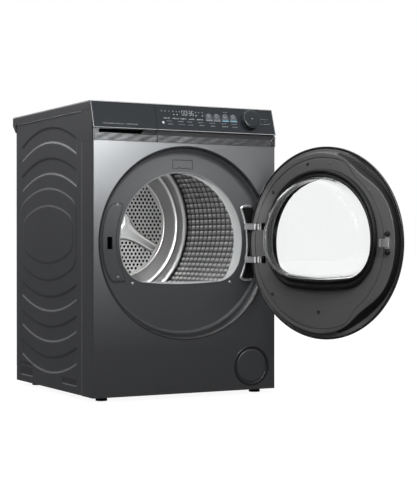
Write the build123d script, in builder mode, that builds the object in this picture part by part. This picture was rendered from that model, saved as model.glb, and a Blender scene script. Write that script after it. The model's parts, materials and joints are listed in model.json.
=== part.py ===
# Free-standing heat-pump clothes dryer, in millimetres, +Z up, door side facing -Y.
# Origin: floor level, at the centre of the four feet. x = 0 is the middle of the cabinet.
# "Depth" values (names ending in _d) run back from the outer face of the front panel.
from math import atan2, cos, hypot, radians, sin, sqrt
import os

from build123d import *

os.makedirs("parts", exist_ok=True)

# ---------------------------------------------------------------- driving sizes
width = 595.0              # cabinet and worktop
height = 850.0             # floor to worktop surface
depth = 613.0              # front panel face to rear panel face
worktop_overhang = 26.0    # worktop past the rear panel
sheet = 1.0                # panel steel
wall = 3.0                 # moulded plastic walls
ground_gap = 12.0          # floor to cabinet underside
running = 0.3              # gap between pieces that move past each other
shaft_gap = 0.05           # radial gap of a shaft in its bearing
seam = 0.5                 # gap between fixed covers

foot_x = 252.0             # feet from the middle
foot_setback = 45.0        # front feet behind the front panel
foot_pitch = 495.0         # front feet to rear feet

side_wrap = 80.0           # front panel and fascia wrap this far round the sides
side_inset = 2.5           # flat of the side panels inside the cabinet width
fascia_z = 736.5           # top of the front panel, bottom of the trim band
glass_z = 772.0            # lower edge of the control panel glass
worktop_z = 824.0          # underside of the worktop
glass_low_d = -4.4         # glass face at its lower edge
glass_high_d = 20.4        # glass face at its upper edge
glass_t = 4.0
tank_split_x = -98.0       # water tank drawer front to control panel

door_z = 448.0             # centre of the door and its recess
recess_r = 281.0           # hole in the front panel
dish_r = 262.0             # flat floor of the recess
dish_d = 32.0              # depth of that floor
door_r = 276.0             # door outer radius
door_rim_d = -3.0
door_face_d = 8.0          # flat inner face of the door
hinge_x = 240.0
hinge_d = -9.0
hinge_pin_r = 3.0
door_open = 109.0          # degrees, as it stands
arm_rise = 49.0            # hinge arms above and below the door centre
arm_h = 18.0
latch_x = -231.0

drum_z = 508.0             # drum axis
drum_r = 277.0             # outside of the drum shell
drum_t = 1.0
drum_front_d = 110.0       # start of the full radius
drum_rear_d = 535.0
neck_r = 241.0             # outside of the drum's front neck
neck_d = 64.0
shaft_r = 10.0
bulkhead_d = 560.0         # front face of the rear bulkhead

belt_d = 300.0             # front edge of the belt
belt_w = 12.0
belt_t = 2.0
motor_x = 150.0
motor_z = 95.0
pulley_r = 12.0
motor_shaft_r = 6.0
idler_x = 62.0
idler_z = 146.0
idler_r = 15.0
idler_bore_r = 4.0
roller_r = 20.0
roller_angle = 33.0        # front rollers either side of the drum's lowest line
roller_pin_r = 5.0

front_y = -(foot_setback + foot_pitch / 2)
side_x = width / 2 - side_inset
inner_x = side_x - sheet
slope = atan2(glass_high_d - glass_low_d, height - glass_z)
glass_len = hypot(glass_high_d - glass_low_d, height - glass_z)


def at(d):
    return front_y + d


def front_plane(d):
    # sketch x and y are the row's x and z; a negative extrusion goes to the rear
    return Plane.XZ.offset(-at(d))


def fascia_plane(n=0.0):
    # x across, y up the slope of the control panel, z out of its face
    face = Plane(origin=(0, at(glass_low_d), glass_z), x_dir=(1, 0, 0), z_dir=(0, -cos(slope), sin(slope)))
    return face.offset(n)


def block(x, d, z, mode=Mode.ADD):
    # a box from three (low, high) pairs, d being depths
    with Locations(((x[0] + x[1]) / 2, at((d[0] + d[1]) / 2), (z[0] + z[1]) / 2)):
        Box(x[1] - x[0], d[1] - d[0], z[1] - z[0], mode=mode)


def rod(x, z, d0, d1, r, mode=Mode.ADD):
    # a cylinder along the depth
    with BuildSketch(front_plane(d0)) as disc:
        with Locations((x, z)):
            Circle(r)
    extrude(disc.sketch, amount=-(d1 - d0), mode=mode)


def post(x, d, z0, z1, r, mode=Mode.ADD):
    # an upright cylinder
    with BuildSketch(Plane.XY.offset(z0)) as disc:
        with Locations((x, at(d))):
            Circle(r)
    extrude(disc.sketch, amount=z1 - z0, mode=mode)


def slab_x(points, x0, x1, mode=Mode.ADD):
    # a (depth, z) outline carried from x0 to x1
    with BuildSketch(Plane.YZ.offset(x0)) as outline:
        with BuildLine():
            Polyline([(at(d), z) for d, z in points], close=True)
        make_face()
    extrude(outline.sketch, amount=x1 - x0, mode=mode)


def turned(points, axis_z, arc=360.0, start=0.0, mode=Mode.ADD):
    # a (radius, depth) outline revolved about the depth axis at height axis_z
    spin = Axis((0, 0, axis_z), (0, 1, 0))
    base = Plane(origin=(0, 0, axis_z), x_dir=(cos(radians(start)), 0, sin(radians(start))),
                 z_dir=(-sin(radians(start)), 0, cos(radians(start))))
    with BuildSketch(base) as outline:
        with BuildLine():
            Polyline([(r, at(d)) for r, d in points], close=True)
        make_face()
    revolve(outline.sketch, axis=spin, revolution_arc=-arc, mode=mode)


def d_face(half, top, bottom, corner, d):
    # a circle cut flat below, with rounded corners, centred on the door height
    with BuildSketch(front_plane(d)) as outline:
        with Locations((0, door_z + top - half)):
            Circle(half)
        with Locations((0, door_z + bottom - half)):
            Rectangle(4 * half, 2 * half, mode=Mode.SUBTRACT)
        fillet(outline.vertices().group_by(Axis.Y)[0], corner)
    return outline.sketch


def d_prism(shape, gap, d0, d1, mode=Mode.ADD):
    # the D outline, widened by gap, carried from depth d0 to d1
    half, top, bottom, corner = shape
    extrude(d_face(half + gap, top + gap, bottom - gap, corner + gap, d0), amount=-(d1 - d0), mode=mode)


def swung(part):
    # door pieces are drawn closed and turned open about the hinge pin
    return part.rotate(Axis((hinge_x, at(hinge_d), 0), (0, 0, 1)), door_open)


# ---------------------------------------------------------------- base and feet
tray_top = 60.0
tray_floor = ground_gap + wall
tray_front_d = 13.0        # behind the service flap
foot_stud_r = 5.0
foot_pad_r = 17.5
foot_pad_h = 9.0
foot_ds = (foot_setback, foot_setback + foot_pitch)

with BuildPart() as base_tray:
    block((-inner_x, inner_x), (tray_front_d, depth - sheet), (ground_gap, tray_top))
    block((-inner_x + wall, inner_x - wall), (tray_front_d + wall, depth - sheet - wall),
          (tray_floor, tray_top), mode=Mode.SUBTRACT)
    for rib_x in (-130.0, -20.0, 80.0):
        block((rib_x, rib_x + wall), (tray_front_d + wall, 80.0), (tray_floor, tray_top - 25.0))
    for foot_d in foot_ds:
        for side in (-1, 1):
            post(side * foot_x, foot_d, ground_gap, tray_top - 6.0, 14.0)
            post(side * foot_x, foot_d, ground_gap - 1.0, tray_top, foot_stud_r + shaft_gap, Mode.SUBTRACT)
base_tray.part.label = "base_tray"
export_step(base_tray.part, "parts/base_tray.step")

for foot_name, side, foot_d in (
    ("foot_front_left", -1, foot_ds[0]),
    ("foot_front_right", 1, foot_ds[0]),
    ("foot_rear_left", -1, foot_ds[1]),
    ("foot_rear_right", 1, foot_ds[1]),
):
    with BuildPart() as foot:
        post(side * foot_x, foot_d, 0.0, foot_pad_h, foot_pad_r)
        post(side * foot_x, foot_d, foot_pad_h, tray_top - 8.0, foot_stud_r)
    foot.part.label = foot_name
    export_step(foot.part, f"parts/{foot_name}.step")

# ---------------------------------------------------------------- cabinet skin
boss_d = (126.0, 577.0)
boss_z = (335.0, 614.0)
boss_corner = 120.0
flange = 12.0

for panel_name, side in (("side_panel_left", -1), ("side_panel_right", 1)):
    outward = Plane.YZ.offset(side * inner_x)
    boss_size = (boss_d[1] - boss_d[0], boss_z[1] - boss_z[0])
    boss_at = (at(sum(boss_d) / 2), sum(boss_z) / 2)
    with BuildPart() as side_panel:
        block(sorted((side * inner_x, side * side_x)), (side_wrap + seam, depth - sheet),
              (ground_gap, worktop_z))
        block(sorted((side * (inner_x - flange), side * inner_x)),
              (side_wrap + seam, side_wrap + seam + sheet), (tray_top + 4.0, 740.0))
        with BuildSketch(outward):
            with Locations(boss_at):
                RectangleRounded(*boss_size, boss_corner)
        extrude(amount=side * (sheet + side_inset))
        with BuildSketch(outward):
            with Locations(boss_at):
                RectangleRounded(boss_size[0] - 2 * wall, boss_size[1] - 2 * wall, boss_corner - wall)
        extrude(amount=side * side_inset, mode=Mode.SUBTRACT)
    side_panel.part.label = panel_name
    export_step(side_panel.part, f"parts/{panel_name}.step")

flap_x = 216.0
flap_z = 83.0
flap_r = 50.0

bend_r = 4.0
with BuildPart() as front_panel:
    with BuildSketch(Plane.XY.offset(ground_gap)):
        with Locations((0, at(side_wrap))):
            RectangleRounded(width, 2 * side_wrap, bend_r)
            RectangleRounded(width - 2 * sheet, 2 * side_wrap - 2 * sheet, bend_r - sheet, mode=Mode.SUBTRACT)
        with Locations((0, at(1.5 * side_wrap))):
            Rectangle(width, side_wrap, mode=Mode.SUBTRACT)
    extrude(amount=fascia_z - ground_gap)
    rod(0, door_z, 0.0, sheet, recess_r, mode=Mode.SUBTRACT)
    rod(flap_x, flap_z, 0.0, sheet, flap_r + running, mode=Mode.SUBTRACT)
front_panel.part.label = "front_panel"
export_step(front_panel.part, "parts/front_panel.step")

with BuildPart() as service_flap:
    rod(flap_x, flap_z, -1.0, 2.0, flap_r)
    rod(flap_x, flap_z, 2.0, 10.0, flap_r - 12.0)
    rod(flap_x, flap_z, 2.0, 10.0, flap_r - 14.0, mode=Mode.SUBTRACT)
service_flap.part.label = "service_flap"
export_step(service_flap.part, "parts/service_flap.step")

inlet_x = 250.0
inlet_z = 740.0
inlet_size = (44.0, 34.0)
drain_x = -240.0
drain_z = 110.0
drain_r = 7.0
vent_count = 9

with BuildPart() as rear_panel:
    block((-side_x, side_x), (depth - sheet, depth), (tray_top, worktop_z - seam))
    block((inlet_x - inlet_size[0] / 2, inlet_x + inlet_size[0] / 2), (depth - sheet, depth),
          (inlet_z - inlet_size[1] / 2, inlet_z + inlet_size[1] / 2), mode=Mode.SUBTRACT)
    rod(drain_x, drain_z, depth - sheet, depth, drain_r, mode=Mode.SUBTRACT)
    for slot in range(vent_count):
        slot_z = 90.0 + 14.0 * slot
        block((40.0, 230.0), (depth - sheet, depth), (slot_z, slot_z + 6.0), mode=Mode.SUBTRACT)
rear_panel.part.label = "rear_panel"
export_step(rear_panel.part, "parts/rear_panel.step")

with BuildPart() as rear_duct_cover:
    turned([(0, depth + 16), (150, depth + 16), (225, depth + 6), (246, depth), (225, depth),
            (224, depth + 3.5), (149.5, depth + 13.5), (0, depth + 13.5)], drum_z)
rear_duct_cover.part.label = "rear_duct_cover"
export_step(rear_duct_cover.part, "parts/rear_duct_cover.step")

slope_run = (glass_high_d - glass_low_d) / (height - glass_z)
glass_back = glass_t / cos(slope)


def slope_d(z, back=0.0):
    # depth of the control panel's face at height z, and further back
    return glass_low_d + slope_run * (z - glass_z) + back


top_front = glass_back + 0.8
with BuildPart() as top_panel:
    slab_x([(slope_d(worktop_z + seam, top_front), worktop_z + seam), (slope_d(height, top_front), height),
            (depth + worktop_overhang - 3.0, height), (depth + worktop_overhang, height - 3.0),
            (depth + worktop_overhang, worktop_z), (depth + 2.5, 800.0), (depth + seam, 800.0),
            (depth + seam, worktop_z + seam)], -width / 2, width / 2)
top_panel.part.label = "top_panel"
export_step(top_panel.part, "parts/top_panel.step")

# ---------------------------------------------------------------- control panel
fascia_x0 = tank_split_x + 1.0
knob_x = 215.0
knob_s = (813.0 - glass_z) / cos(slope)
knob_r = 29.0
knob_shaft_r = 3.0
button_x = 266.5
button_s = (811.0 - glass_z) / cos(slope)
button_size = (37.0, 14.0)
display_x = (-80.0, 175.0)
frame_top_s = 52.0         # the frame stops under the worktop
cheek = 3.0

with BuildPart() as fascia_frame:
    with BuildSketch(fascia_plane(-glass_t)):
        with Locations(((fascia_x0 + width / 2 - cheek) / 2, frame_top_s / 2 + 1.0)):
            Rectangle(width / 2 - cheek - fascia_x0, frame_top_s - 2.0)
        with Locations((sum(display_x) / 2, frame_top_s / 2)):
            Rectangle(display_x[1] - display_x[0], frame_top_s - 14.0, mode=Mode.SUBTRACT)
        with Locations((knob_x, knob_s)):
            Circle(5.0, mode=Mode.SUBTRACT)
        with Locations((button_x, button_s)):
            Circle(4.0, mode=Mode.SUBTRACT)
    extrude(amount=-wall)
    block((-width / 2 + cheek, width / 2 - cheek), (6.0, 48.0), (fascia_z + seam, fascia_z + seam + 2.0))
    block((fascia_x0, width / 2 - cheek), (6.0, 9.0), (fascia_z + seam, glass_z - 6.0))
    for web_x in ((fascia_x0, display_x[0] - 6.0), (display_x[1] + 6.0, width / 2 - cheek)):
        block(web_x, (6.0, 9.0), (glass_z - 6.0, glass_z + 4.0))
    for x0 in (-width / 2, width / 2 - cheek):
        slab_x([(6.0, fascia_z + seam), (side_wrap, fascia_z + seam), (side_wrap, worktop_z),
                (slope_d(worktop_z, glass_back + 1.0), worktop_z), (6.0, glass_z + 4.0)], x0, x0 + cheek)
fascia_frame.part.label = "fascia_frame"
export_step(fascia_frame.part, "parts/fascia_frame.step")

with BuildPart() as fascia_glass:
    with BuildSketch(fascia_plane()):
        with Locations(((fascia_x0 + width / 2) / 2, glass_len / 2)):
            Rectangle(width / 2 - fascia_x0, glass_len)
        with Locations((knob_x, knob_s)):
            Circle(6.0, mode=Mode.SUBTRACT)
        with Locations((button_x, button_s)):
            SlotOverall(button_size[0] + 2 * running, button_size[1] + 2 * running, mode=Mode.SUBTRACT)
    extrude(amount=-(glass_t - 0.01))
fascia_glass.part.label = "fascia_glass"
export_step(fascia_glass.part, "parts/fascia_glass.step")

board_n = -glass_t - wall
with BuildPart() as display_board:
    with BuildSketch(fascia_plane(board_n)):
        with Locations((sum(display_x) / 2, frame_top_s / 2)):
            Rectangle(display_x[1] - display_x[0] + 8.0, frame_top_s - 8.0)
    extrude(amount=-8.0)
    with BuildSketch(fascia_plane(board_n)):
        with Locations((sum(display_x) / 2, frame_top_s / 2)):
            Rectangle(display_x[1] - display_x[0] - 2.0, frame_top_s - 16.0)
    extrude(amount=wall - seam)
    with BuildSketch(fascia_plane(board_n)):
        with Locations((knob_x, knob_s)):
            Rectangle(24.0, 24.0)
            Circle(knob_shaft_r + shaft_gap, mode=Mode.SUBTRACT)
    extrude(amount=-14.0)
    with BuildSketch(fascia_plane(board_n - 7.0)):
        with Locations((button_x, button_s)):
            Rectangle(16.0, 16.0)
        with Locations(((display_x[1] + button_x) / 2, button_s)):
            Rectangle(button_x - display_x[1], 6.0)
        with Locations((knob_x, knob_s)):
            Circle(knob_shaft_r + shaft_gap, mode=Mode.SUBTRACT)
    extrude(amount=-1.0)
display_board.part.label = "display_board"
export_step(display_board.part, "parts/display_board.step")

with BuildPart() as knob:
    with BuildSketch(fascia_plane(1.0)):
        with Locations((knob_x, knob_s)):
            Circle(knob_r)
    extrude(amount=11.0)
    with BuildSketch(fascia_plane(12.0)):
        with Locations((knob_x, knob_s)):
            Circle(knob_r - 3.0)
    extrude(amount=4.0)
    with BuildSketch(fascia_plane(1.0)):
        with Locations((knob_x, knob_s)):
            Circle(knob_shaft_r)
    extrude(amount=-20.0)
knob.part.label = "knob"
export_step(knob.part, "parts/knob.step")

button_travel = 1.5
with BuildPart() as power_button:
    with BuildSketch(fascia_plane(1.8)):
        with Locations((button_x, button_s)):
            SlotOverall(*button_size)
    extrude(amount=-(glass_t - button_travel - running))
    with BuildSketch(fascia_plane(1.8)):
        with Locations((button_x, button_s)):
            Circle(3.0)
    extrude(amount=-(1.8 - board_n + 7.0 - button_travel - running))
power_button.part.label = "power_button"
export_step(power_button.part, "parts/power_button.step")

ripple_z = (fascia_z + 1.5, 757.0)


with BuildPart() as control_trim:
    block((fascia_x0, width / 2), (1.0, 5.9), ripple_z)
    block((fascia_x0, width / 2), (3.0, 5.9), (ripple_z[1], glass_z - 2.0))
control_trim.part.label = "control_trim"
export_step(control_trim.part, "parts/control_trim.step")

# ---------------------------------------------------------------- water tank drawer
tank_x = (-290.0, tank_split_x - 8.0)
tank_d = (28.0, 520.0)
tank_z = (776.0, 817.0)
guide_gap = 0.8
grip_x = (-280.0, -137.0)

with BuildPart() as tank_guide:
    block((tank_x[0] - 2.5, tank_x[1] + 2.5), (30.0, 540.0), (tank_z[0] - 2.5, tank_z[1] - 2.0))
    block((tank_x[0] - guide_gap, tank_x[1] + guide_gap), (29.0, 538.0), (tank_z[0] - guide_gap, tank_z[1]),
          mode=Mode.SUBTRACT)
tank_guide.part.label = "tank_guide"
export_step(tank_guide.part, "parts/tank_guide.step")

fill_hole_r = 9.0
with BuildPart() as tank_body:
    block(tank_x, tank_d, tank_z)
    block((tank_x[0] + 2.5, tank_x[1] - 2.5), (tank_d[0] + 2.5, tank_d[1] - 2.5),
          (tank_z[0] + 2.5, tank_z[1] - 2.5), mode=Mode.SUBTRACT)
    post(sum(tank_x) / 2, tank_d[1] - 40.0, tank_z[1] - 3.0, tank_z[1], fill_hole_r, mode=Mode.SUBTRACT)
    post(tank_x[0] + 40.0, tank_d[0] + 40.0, tank_z[1] - 1.0, tank_z[1] + 3.0, 14.0)
tank_body.part.label = "tank_body"
export_step(tank_body.part, "parts/tank_body.step")

with BuildPart() as tank_front:
    with BuildSketch(fascia_plane()):
        with Locations(((tank_split_x - width / 2) / 2, glass_len / 2)):
            Rectangle(width / 2 + tank_split_x, glass_len)
    extrude(amount=-glass_t)
    slab_x([(slope_d(tank_z[0], glass_back - 0.5), tank_z[0]), (tank_d[0], tank_z[0]), (tank_d[0], tank_z[1]),
            (slope_d(tank_z[1], glass_back - 0.5), tank_z[1])], *tank_x)
    slab_x([(slope_d(tank_z[0] + 3.0, glass_back), tank_z[0] + 3.0), (tank_d[0] - 3.0, tank_z[0] + 3.0),
            (tank_d[0] - 3.0, tank_z[1] - 3.0), (slope_d(tank_z[1] - 3.0, glass_back), tank_z[1] - 3.0)],
           tank_x[0] + 3.0, tank_x[1] - 3.0, mode=Mode.SUBTRACT)
    block((-width / 2, tank_split_x), (-3.5, 2.5), (glass_z - 5.0, glass_z - 2.0))
    block((-width / 2, tank_split_x), (0.5, 2.5), (ripple_z[1] + 2.0, glass_z + 3.5))
    block(grip_x, (-4.0, 3.0), (ripple_z[1] + 2.0, glass_z - 2.0), mode=Mode.SUBTRACT)
    block((-width / 2, tank_split_x), (0.0, 5.0), (ripple_z[0], ripple_z[1] + 2.0))
    block((grip_x[0] - 2.0, grip_x[1] + 2.0), (5.0, 26.0), (ripple_z[1] - 1.0, ripple_z[1] + 1.0))
tank_front.part.label = "tank_front"
export_step(tank_front.part, "parts/tank_front.step")

# ---------------------------------------------------------------- door recess
opening = (200.5, 206.0, -117.0, 50.0)    # drum opening: half width, top, bottom, corner

with BuildPart() as door_surround:
    turned([(0, dish_d), (dish_r, dish_d), (recess_r - 3.0, 1.0), (recess_r - running, 0.3),
            (recess_r - running, 3.5), (dish_r + 2.0, dish_d + wall), (0, dish_d + wall)], door_z)
    d_prism(opening, 0.0, dish_d - 1.0, dish_d + wall + 1.0, Mode.SUBTRACT)
    block((latch_x - 9.0, latch_x + 7.0), (dish_d - 1.0, dish_d + wall + 1.0), (door_z - 17.5, door_z + 17.5),
          mode=Mode.SUBTRACT)
door_surround.part.label = "door_surround"
export_step(door_surround.part, "parts/door_surround.step")

cover_edge_x = -195.0
cover_rise = 113.0
with BuildPart() as latch_cover:
    with BuildSketch(front_plane(dish_d - 1.2)):
        with Locations((0, door_z)):
            Circle(dish_r - 3.0)
        with Locations((cover_edge_x + 200.0, door_z)):
            Rectangle(400.0, 600.0, mode=Mode.SUBTRACT)
        with Locations((cover_edge_x, door_z)):
            Rectangle(200.0, 2 * cover_rise, mode=Mode.INTERSECT)
        with Locations((latch_x - 1.0, door_z)):
            Rectangle(16.0, 35.0, mode=Mode.SUBTRACT)
        with Locations((0, door_z)):
            Circle(opening[0] + 8.0, mode=Mode.SUBTRACT)
    extrude(amount=-1.2)
latch_cover.part.label = "latch_cover"
export_step(latch_cover.part, "parts/latch_cover.step")

hinge_rise = 111.0
arm_zs = (door_z - arm_rise, door_z + arm_rise)
plate_edge_r = 250.0
with BuildPart() as hinge_plate:
    with BuildSketch(front_plane(dish_d - 2.2)):
        with Locations((0, door_z)):
            Circle(dish_r - 3.0)
        with Locations((hinge_x, door_z)):
            Rectangle(120.0, 2 * hinge_rise, mode=Mode.INTERSECT)
        with Locations((222.0 - plate_edge_r, door_z)):
            Circle(plate_edge_r, mode=Mode.SUBTRACT)
        for arm_z in arm_zs:
            with Locations((222.0, arm_z)):
                Rectangle(26.0, arm_h + 2.0, mode=Mode.SUBTRACT)
    extrude(amount=-2.2)
hinge_plate.part.label = "hinge_plate"
export_step(hinge_plate.part, "parts/hinge_plate.step")

arm_t = 3.5
arm_path = [(212.0, dish_d - arm_t / 2), (204.0, 17.0), (207.0, 2.0), (220.0, -8.0), (hinge_x, hinge_d)]
pin_rise = arm_rise + arm_h / 2 + 9.0
with BuildPart() as hinge_arms:
    for arm_z in arm_zs:
        with BuildSketch(Plane.XY.offset(arm_z - arm_h / 2)):
            with BuildLine():
                Spline([(x, at(d)) for x, d in arm_path])
            trace(line_width=arm_t)
        extrude(amount=arm_h)
        post(hinge_x, hinge_d, arm_z - arm_h / 2, arm_z + arm_h / 2, hinge_pin_r + 2.5)
        block((209.5, 230.0), (dish_d - arm_t, dish_d), (arm_z - arm_h / 2, arm_z + arm_h / 2))
    post(hinge_x, hinge_d, door_z - pin_rise, door_z + pin_rise, hinge_pin_r)
hinge_arms.part.label = "hinge_arms"
export_step(hinge_arms.part, "parts/hinge_arms.step")

surround_screw_at = [(-207.0, 556.0), (-206.0, 350.0), (-160.0, 331.0),
                     (160.0, 331.0), (215.0, 553.0), (215.0, 345.0)]
with BuildPart() as surround_screws:
    for screw_x, screw_z in surround_screw_at:
        rod(screw_x, screw_z, dish_d - 4.0, dish_d - 2.2, 5.0)
surround_screws.part.label = "surround_screws"
export_step(surround_screws.part, "parts/surround_screws.step")

# ---------------------------------------------------------------- front bulkhead, collar, filter
front_bulkhead_d = 50.0
bulkhead_t = 2.0
filter_half = 104.0
filter_d = (40.0, 58.0)
filter_z = (200.0, door_z - 113.0)
housing_wall = 2.0
housing_gap = 0.8
collar_t = 2.5
collar_end_d = 80.0
flange_r = 236.2

roller_reach = drum_r + running + roller_r
roller_x = roller_reach * sin(radians(roller_angle))
roller_z = drum_z - roller_reach * cos(radians(roller_angle))
roller_d = (drum_front_d + 6.0, drum_front_d + 24.0)

with BuildPart() as front_bulkhead:
    block((-inner_x, inner_x), (front_bulkhead_d, front_bulkhead_d + bulkhead_t),
          (tray_top + 2.0, fascia_z - 1.5))
    rod(0, drum_z, front_bulkhead_d, front_bulkhead_d + bulkhead_t, flange_r + 1.0, mode=Mode.SUBTRACT)
    block((-filter_half - housing_gap - housing_wall, filter_half + housing_gap + housing_wall),
          (front_bulkhead_d, front_bulkhead_d + bulkhead_t), (filter_z[0] - 3.0, drum_z), mode=Mode.SUBTRACT)
    for side in (-1, 1):
        rod(side * roller_x, roller_z, front_bulkhead_d, roller_d[1] + 4.0, roller_pin_r)
        rod(side * roller_x, roller_z, front_bulkhead_d, roller_d[0] - 1.0, roller_pin_r + 4.0)
front_bulkhead.part.label = "front_bulkhead"
export_step(front_bulkhead.part, "parts/front_bulkhead.step")

with BuildPart() as front_collar:
    d_prism(opening, collar_t, dish_d + wall, collar_end_d)
    with BuildSketch(front_plane(front_bulkhead_d + bulkhead_t)):
        with Locations((0, drum_z)):
            Circle(flange_r + 13.0)
    extrude(amount=-collar_t)
    rod(0, drum_z, front_bulkhead_d + bulkhead_t, collar_end_d, flange_r)
    with BuildSketch(front_plane(front_bulkhead_d + bulkhead_t + collar_t)):
        with Locations((0, drum_z)):
            Circle(flange_r - collar_t)
    extrude(amount=-(collar_end_d - front_bulkhead_d - bulkhead_t - collar_t), mode=Mode.SUBTRACT)
    d_prism(opening, collar_t, front_bulkhead_d + bulkhead_t, collar_end_d)
    d_prism(opening, 0.0, dish_d + wall - 1.0, collar_end_d + 1.0, Mode.SUBTRACT)
    block((-filter_half - housing_gap, filter_half + housing_gap), (filter_d[0] - housing_gap,
          filter_d[1] + housing_gap), (filter_z[0] - 10.0, door_z - 100.0), mode=Mode.SUBTRACT)
front_collar.part.label = "front_collar"
export_step(front_collar.part, "parts/front_collar.step")

collar_under_z = door_z + opening[2] - collar_t
with BuildPart() as filter_housing:
    block((-filter_half - housing_gap - housing_wall, filter_half + housing_gap + housing_wall),
          (filter_d[0] - housing_gap - housing_wall, filter_d[1] + housing_gap + housing_wall),
          (filter_z[0] - 3.0, collar_under_z))
    block((-filter_half - housing_gap, filter_half + housing_gap),
          (filter_d[0] - housing_gap, filter_d[1] + housing_gap), (filter_z[0] - housing_gap, collar_under_z),
          mode=Mode.SUBTRACT)
    rod(0, drum_z, front_bulkhead_d + bulkhead_t, collar_end_d, flange_r + 13.2, mode=Mode.SUBTRACT)
filter_housing.part.label = "filter_housing"
export_step(filter_housing.part, "parts/filter_housing.step")

with BuildPart() as lint_filter:
    block((-filter_half, filter_half), filter_d, filter_z)
    block((-filter_half + 3.0, filter_half - 3.0), (filter_d[0] + 1.5, filter_d[1] - 1.5),
          (filter_z[0] + 3.0, filter_z[1] + 1.0), mode=Mode.SUBTRACT)
    block((-filter_half, filter_half), filter_d, (filter_z[1] - 3.0, filter_z[1]))
    block((-34.0, 34.0), (filter_d[0] + 3.0, filter_d[1] - 3.0), (filter_z[1] - 14.0, filter_z[1]),
          mode=Mode.SUBTRACT)
    block((-34.0, 34.0), (filter_d[0] + 7.0, filter_d[1] - 7.0), (filter_z[1] - 4.0, filter_z[1]))
lint_filter.part.label = "lint_filter"
export_step(lint_filter.part, "parts/lint_filter.step")

# ---------------------------------------------------------------- drum
rear_flat_r = 170.0
rear_flat_d = 490.0
hub_r = 45.0

with BuildPart() as drum_shell:
    turned([(neck_r, neck_d), (neck_r, drum_front_d - 18.0), (drum_r, drum_front_d), (drum_r, drum_rear_d),
            (drum_r - drum_t, drum_rear_d), (drum_r - drum_t, drum_front_d + 0.4),
            (neck_r - drum_t, drum_front_d - 17.6), (neck_r - drum_t, neck_d)], drum_z)
drum_shell.part.label = "drum_shell"
export_step(drum_shell.part, "parts/drum_shell.step")

liner_r = drum_r - drum_t
with BuildPart() as drum_rear_wall:
    turned([(shaft_r, rear_flat_d), (rear_flat_r, rear_flat_d), (222.0, rear_flat_d + 20.0),
            (260.0, drum_rear_d - 9.0), (liner_r, drum_rear_d - 6.0), (liner_r, drum_rear_d),
            (260.0, drum_rear_d - 7.5), (222.0, rear_flat_d + 21.5), (rear_flat_r, rear_flat_d + 1.5),
            (shaft_r, rear_flat_d + 1.5)], drum_z)
drum_rear_wall.part.label = "drum_rear_wall"
export_step(drum_rear_wall.part, "parts/drum_rear_wall.step")

spider_start = -30.0
with BuildPart() as drum_spider:
    with BuildSketch(front_plane(rear_flat_d - 8.0)):
        with Locations((0, drum_z)):
            Circle(hub_r)
            with PolarLocations(0, 3, start_angle=spider_start):
                with Locations((rear_flat_r / 2, 0)):
                    RectangleRounded(rear_flat_r - 4.0, 40.0, 16.0)
    extrude(amount=-8.0)
drum_spider.part.label = "drum_spider"
export_step(drum_spider.part, "parts/drum_spider.step")

lifter_angles = (60.0, 180.0, 300.0)
lifter_half = 34.0
lifter_h = 52.0
with BuildPart() as drum_lifters:
    for angle in lifter_angles:
        outward = Plane(origin=(0, at(150.0), drum_z),
                        x_dir=(-sin(radians(angle)), 0, cos(radians(angle))), z_dir=(0, 1, 0))
        with BuildSketch(outward):
            with BuildLine():
                foot_y = sqrt((liner_r - 0.2) ** 2 - lifter_half ** 2)
                Polyline((-lifter_half, foot_y), (-8.0, foot_y - lifter_h), (8.0, foot_y - lifter_h),
                         (lifter_half, foot_y))
                ThreePointArc((lifter_half, foot_y), (0.0, liner_r - 0.2), (-lifter_half, foot_y))
            make_face()
        extrude(amount=330.0)
drum_lifters.part.label = "drum_lifters"
export_step(drum_lifters.part, "parts/drum_lifters.step")

with BuildPart() as drum_shaft:
    rod(0, drum_z, rear_flat_d, bulkhead_d + 24.0, shaft_r)
    rod(0, drum_z, rear_flat_d + 1.5, rear_flat_d + 10.0, hub_r)
drum_shaft.part.label = "drum_shaft"
export_step(drum_shaft.part, "parts/drum_shaft.step")

with BuildPart() as rear_bulkhead:
    block((-inner_x, inner_x), (bulkhead_d, bulkhead_d + bulkhead_t), (tray_top + 2.0, 790.0))
    rod(0, drum_z, bulkhead_d - 1.0, bulkhead_d + bulkhead_t + 1.0, 22.0, mode=Mode.SUBTRACT)
    for arm in range(6):
        hole_angle = radians(60.0 * arm + 30.0)
        rod(120.0 * cos(hole_angle), drum_z + 120.0 * sin(hole_angle), bulkhead_d, bulkhead_d + bulkhead_t,
            42.0, mode=Mode.SUBTRACT)
    rod(motor_x, motor_z, bulkhead_d, bulkhead_d + bulkhead_t, 26.0, mode=Mode.SUBTRACT)
rear_bulkhead.part.label = "rear_bulkhead"
export_step(rear_bulkhead.part, "parts/rear_bulkhead.step")

with BuildPart() as rear_bearing:
    rod(0, drum_z, bulkhead_d - 6.0, bulkhead_d + 14.0, 22.0)
    rod(0, drum_z, bulkhead_d + bulkhead_t, bulkhead_d + 8.0, 30.0)
    rod(0, drum_z, bulkhead_d - 7.0, bulkhead_d + 15.0, shaft_r + shaft_gap, mode=Mode.SUBTRACT)
rear_bearing.part.label = "rear_bearing"
export_step(rear_bearing.part, "parts/rear_bearing.step")

# ---------------------------------------------------------------- drive
belt_inner = (
    (0.0, drum_z, drum_r + running),
    (motor_x, motor_z, pulley_r + running),
    (idler_x, idler_z, idler_r + running),
)


def belt_hull(extra, mode):
    with BuildSketch(front_plane(belt_d)) as loop:
        for belt_x, belt_z, belt_r in belt_inner:
            with Locations((belt_x, belt_z)):
                Circle(belt_r + extra)
        make_hull()
    extrude(loop.sketch, amount=-belt_w, mode=mode)


with BuildPart() as drive_belt:
    belt_hull(belt_t, Mode.ADD)
    belt_hull(0.0, Mode.SUBTRACT)
drive_belt.part.label = "drive_belt"
export_step(drive_belt.part, "parts/drive_belt.step")

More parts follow.
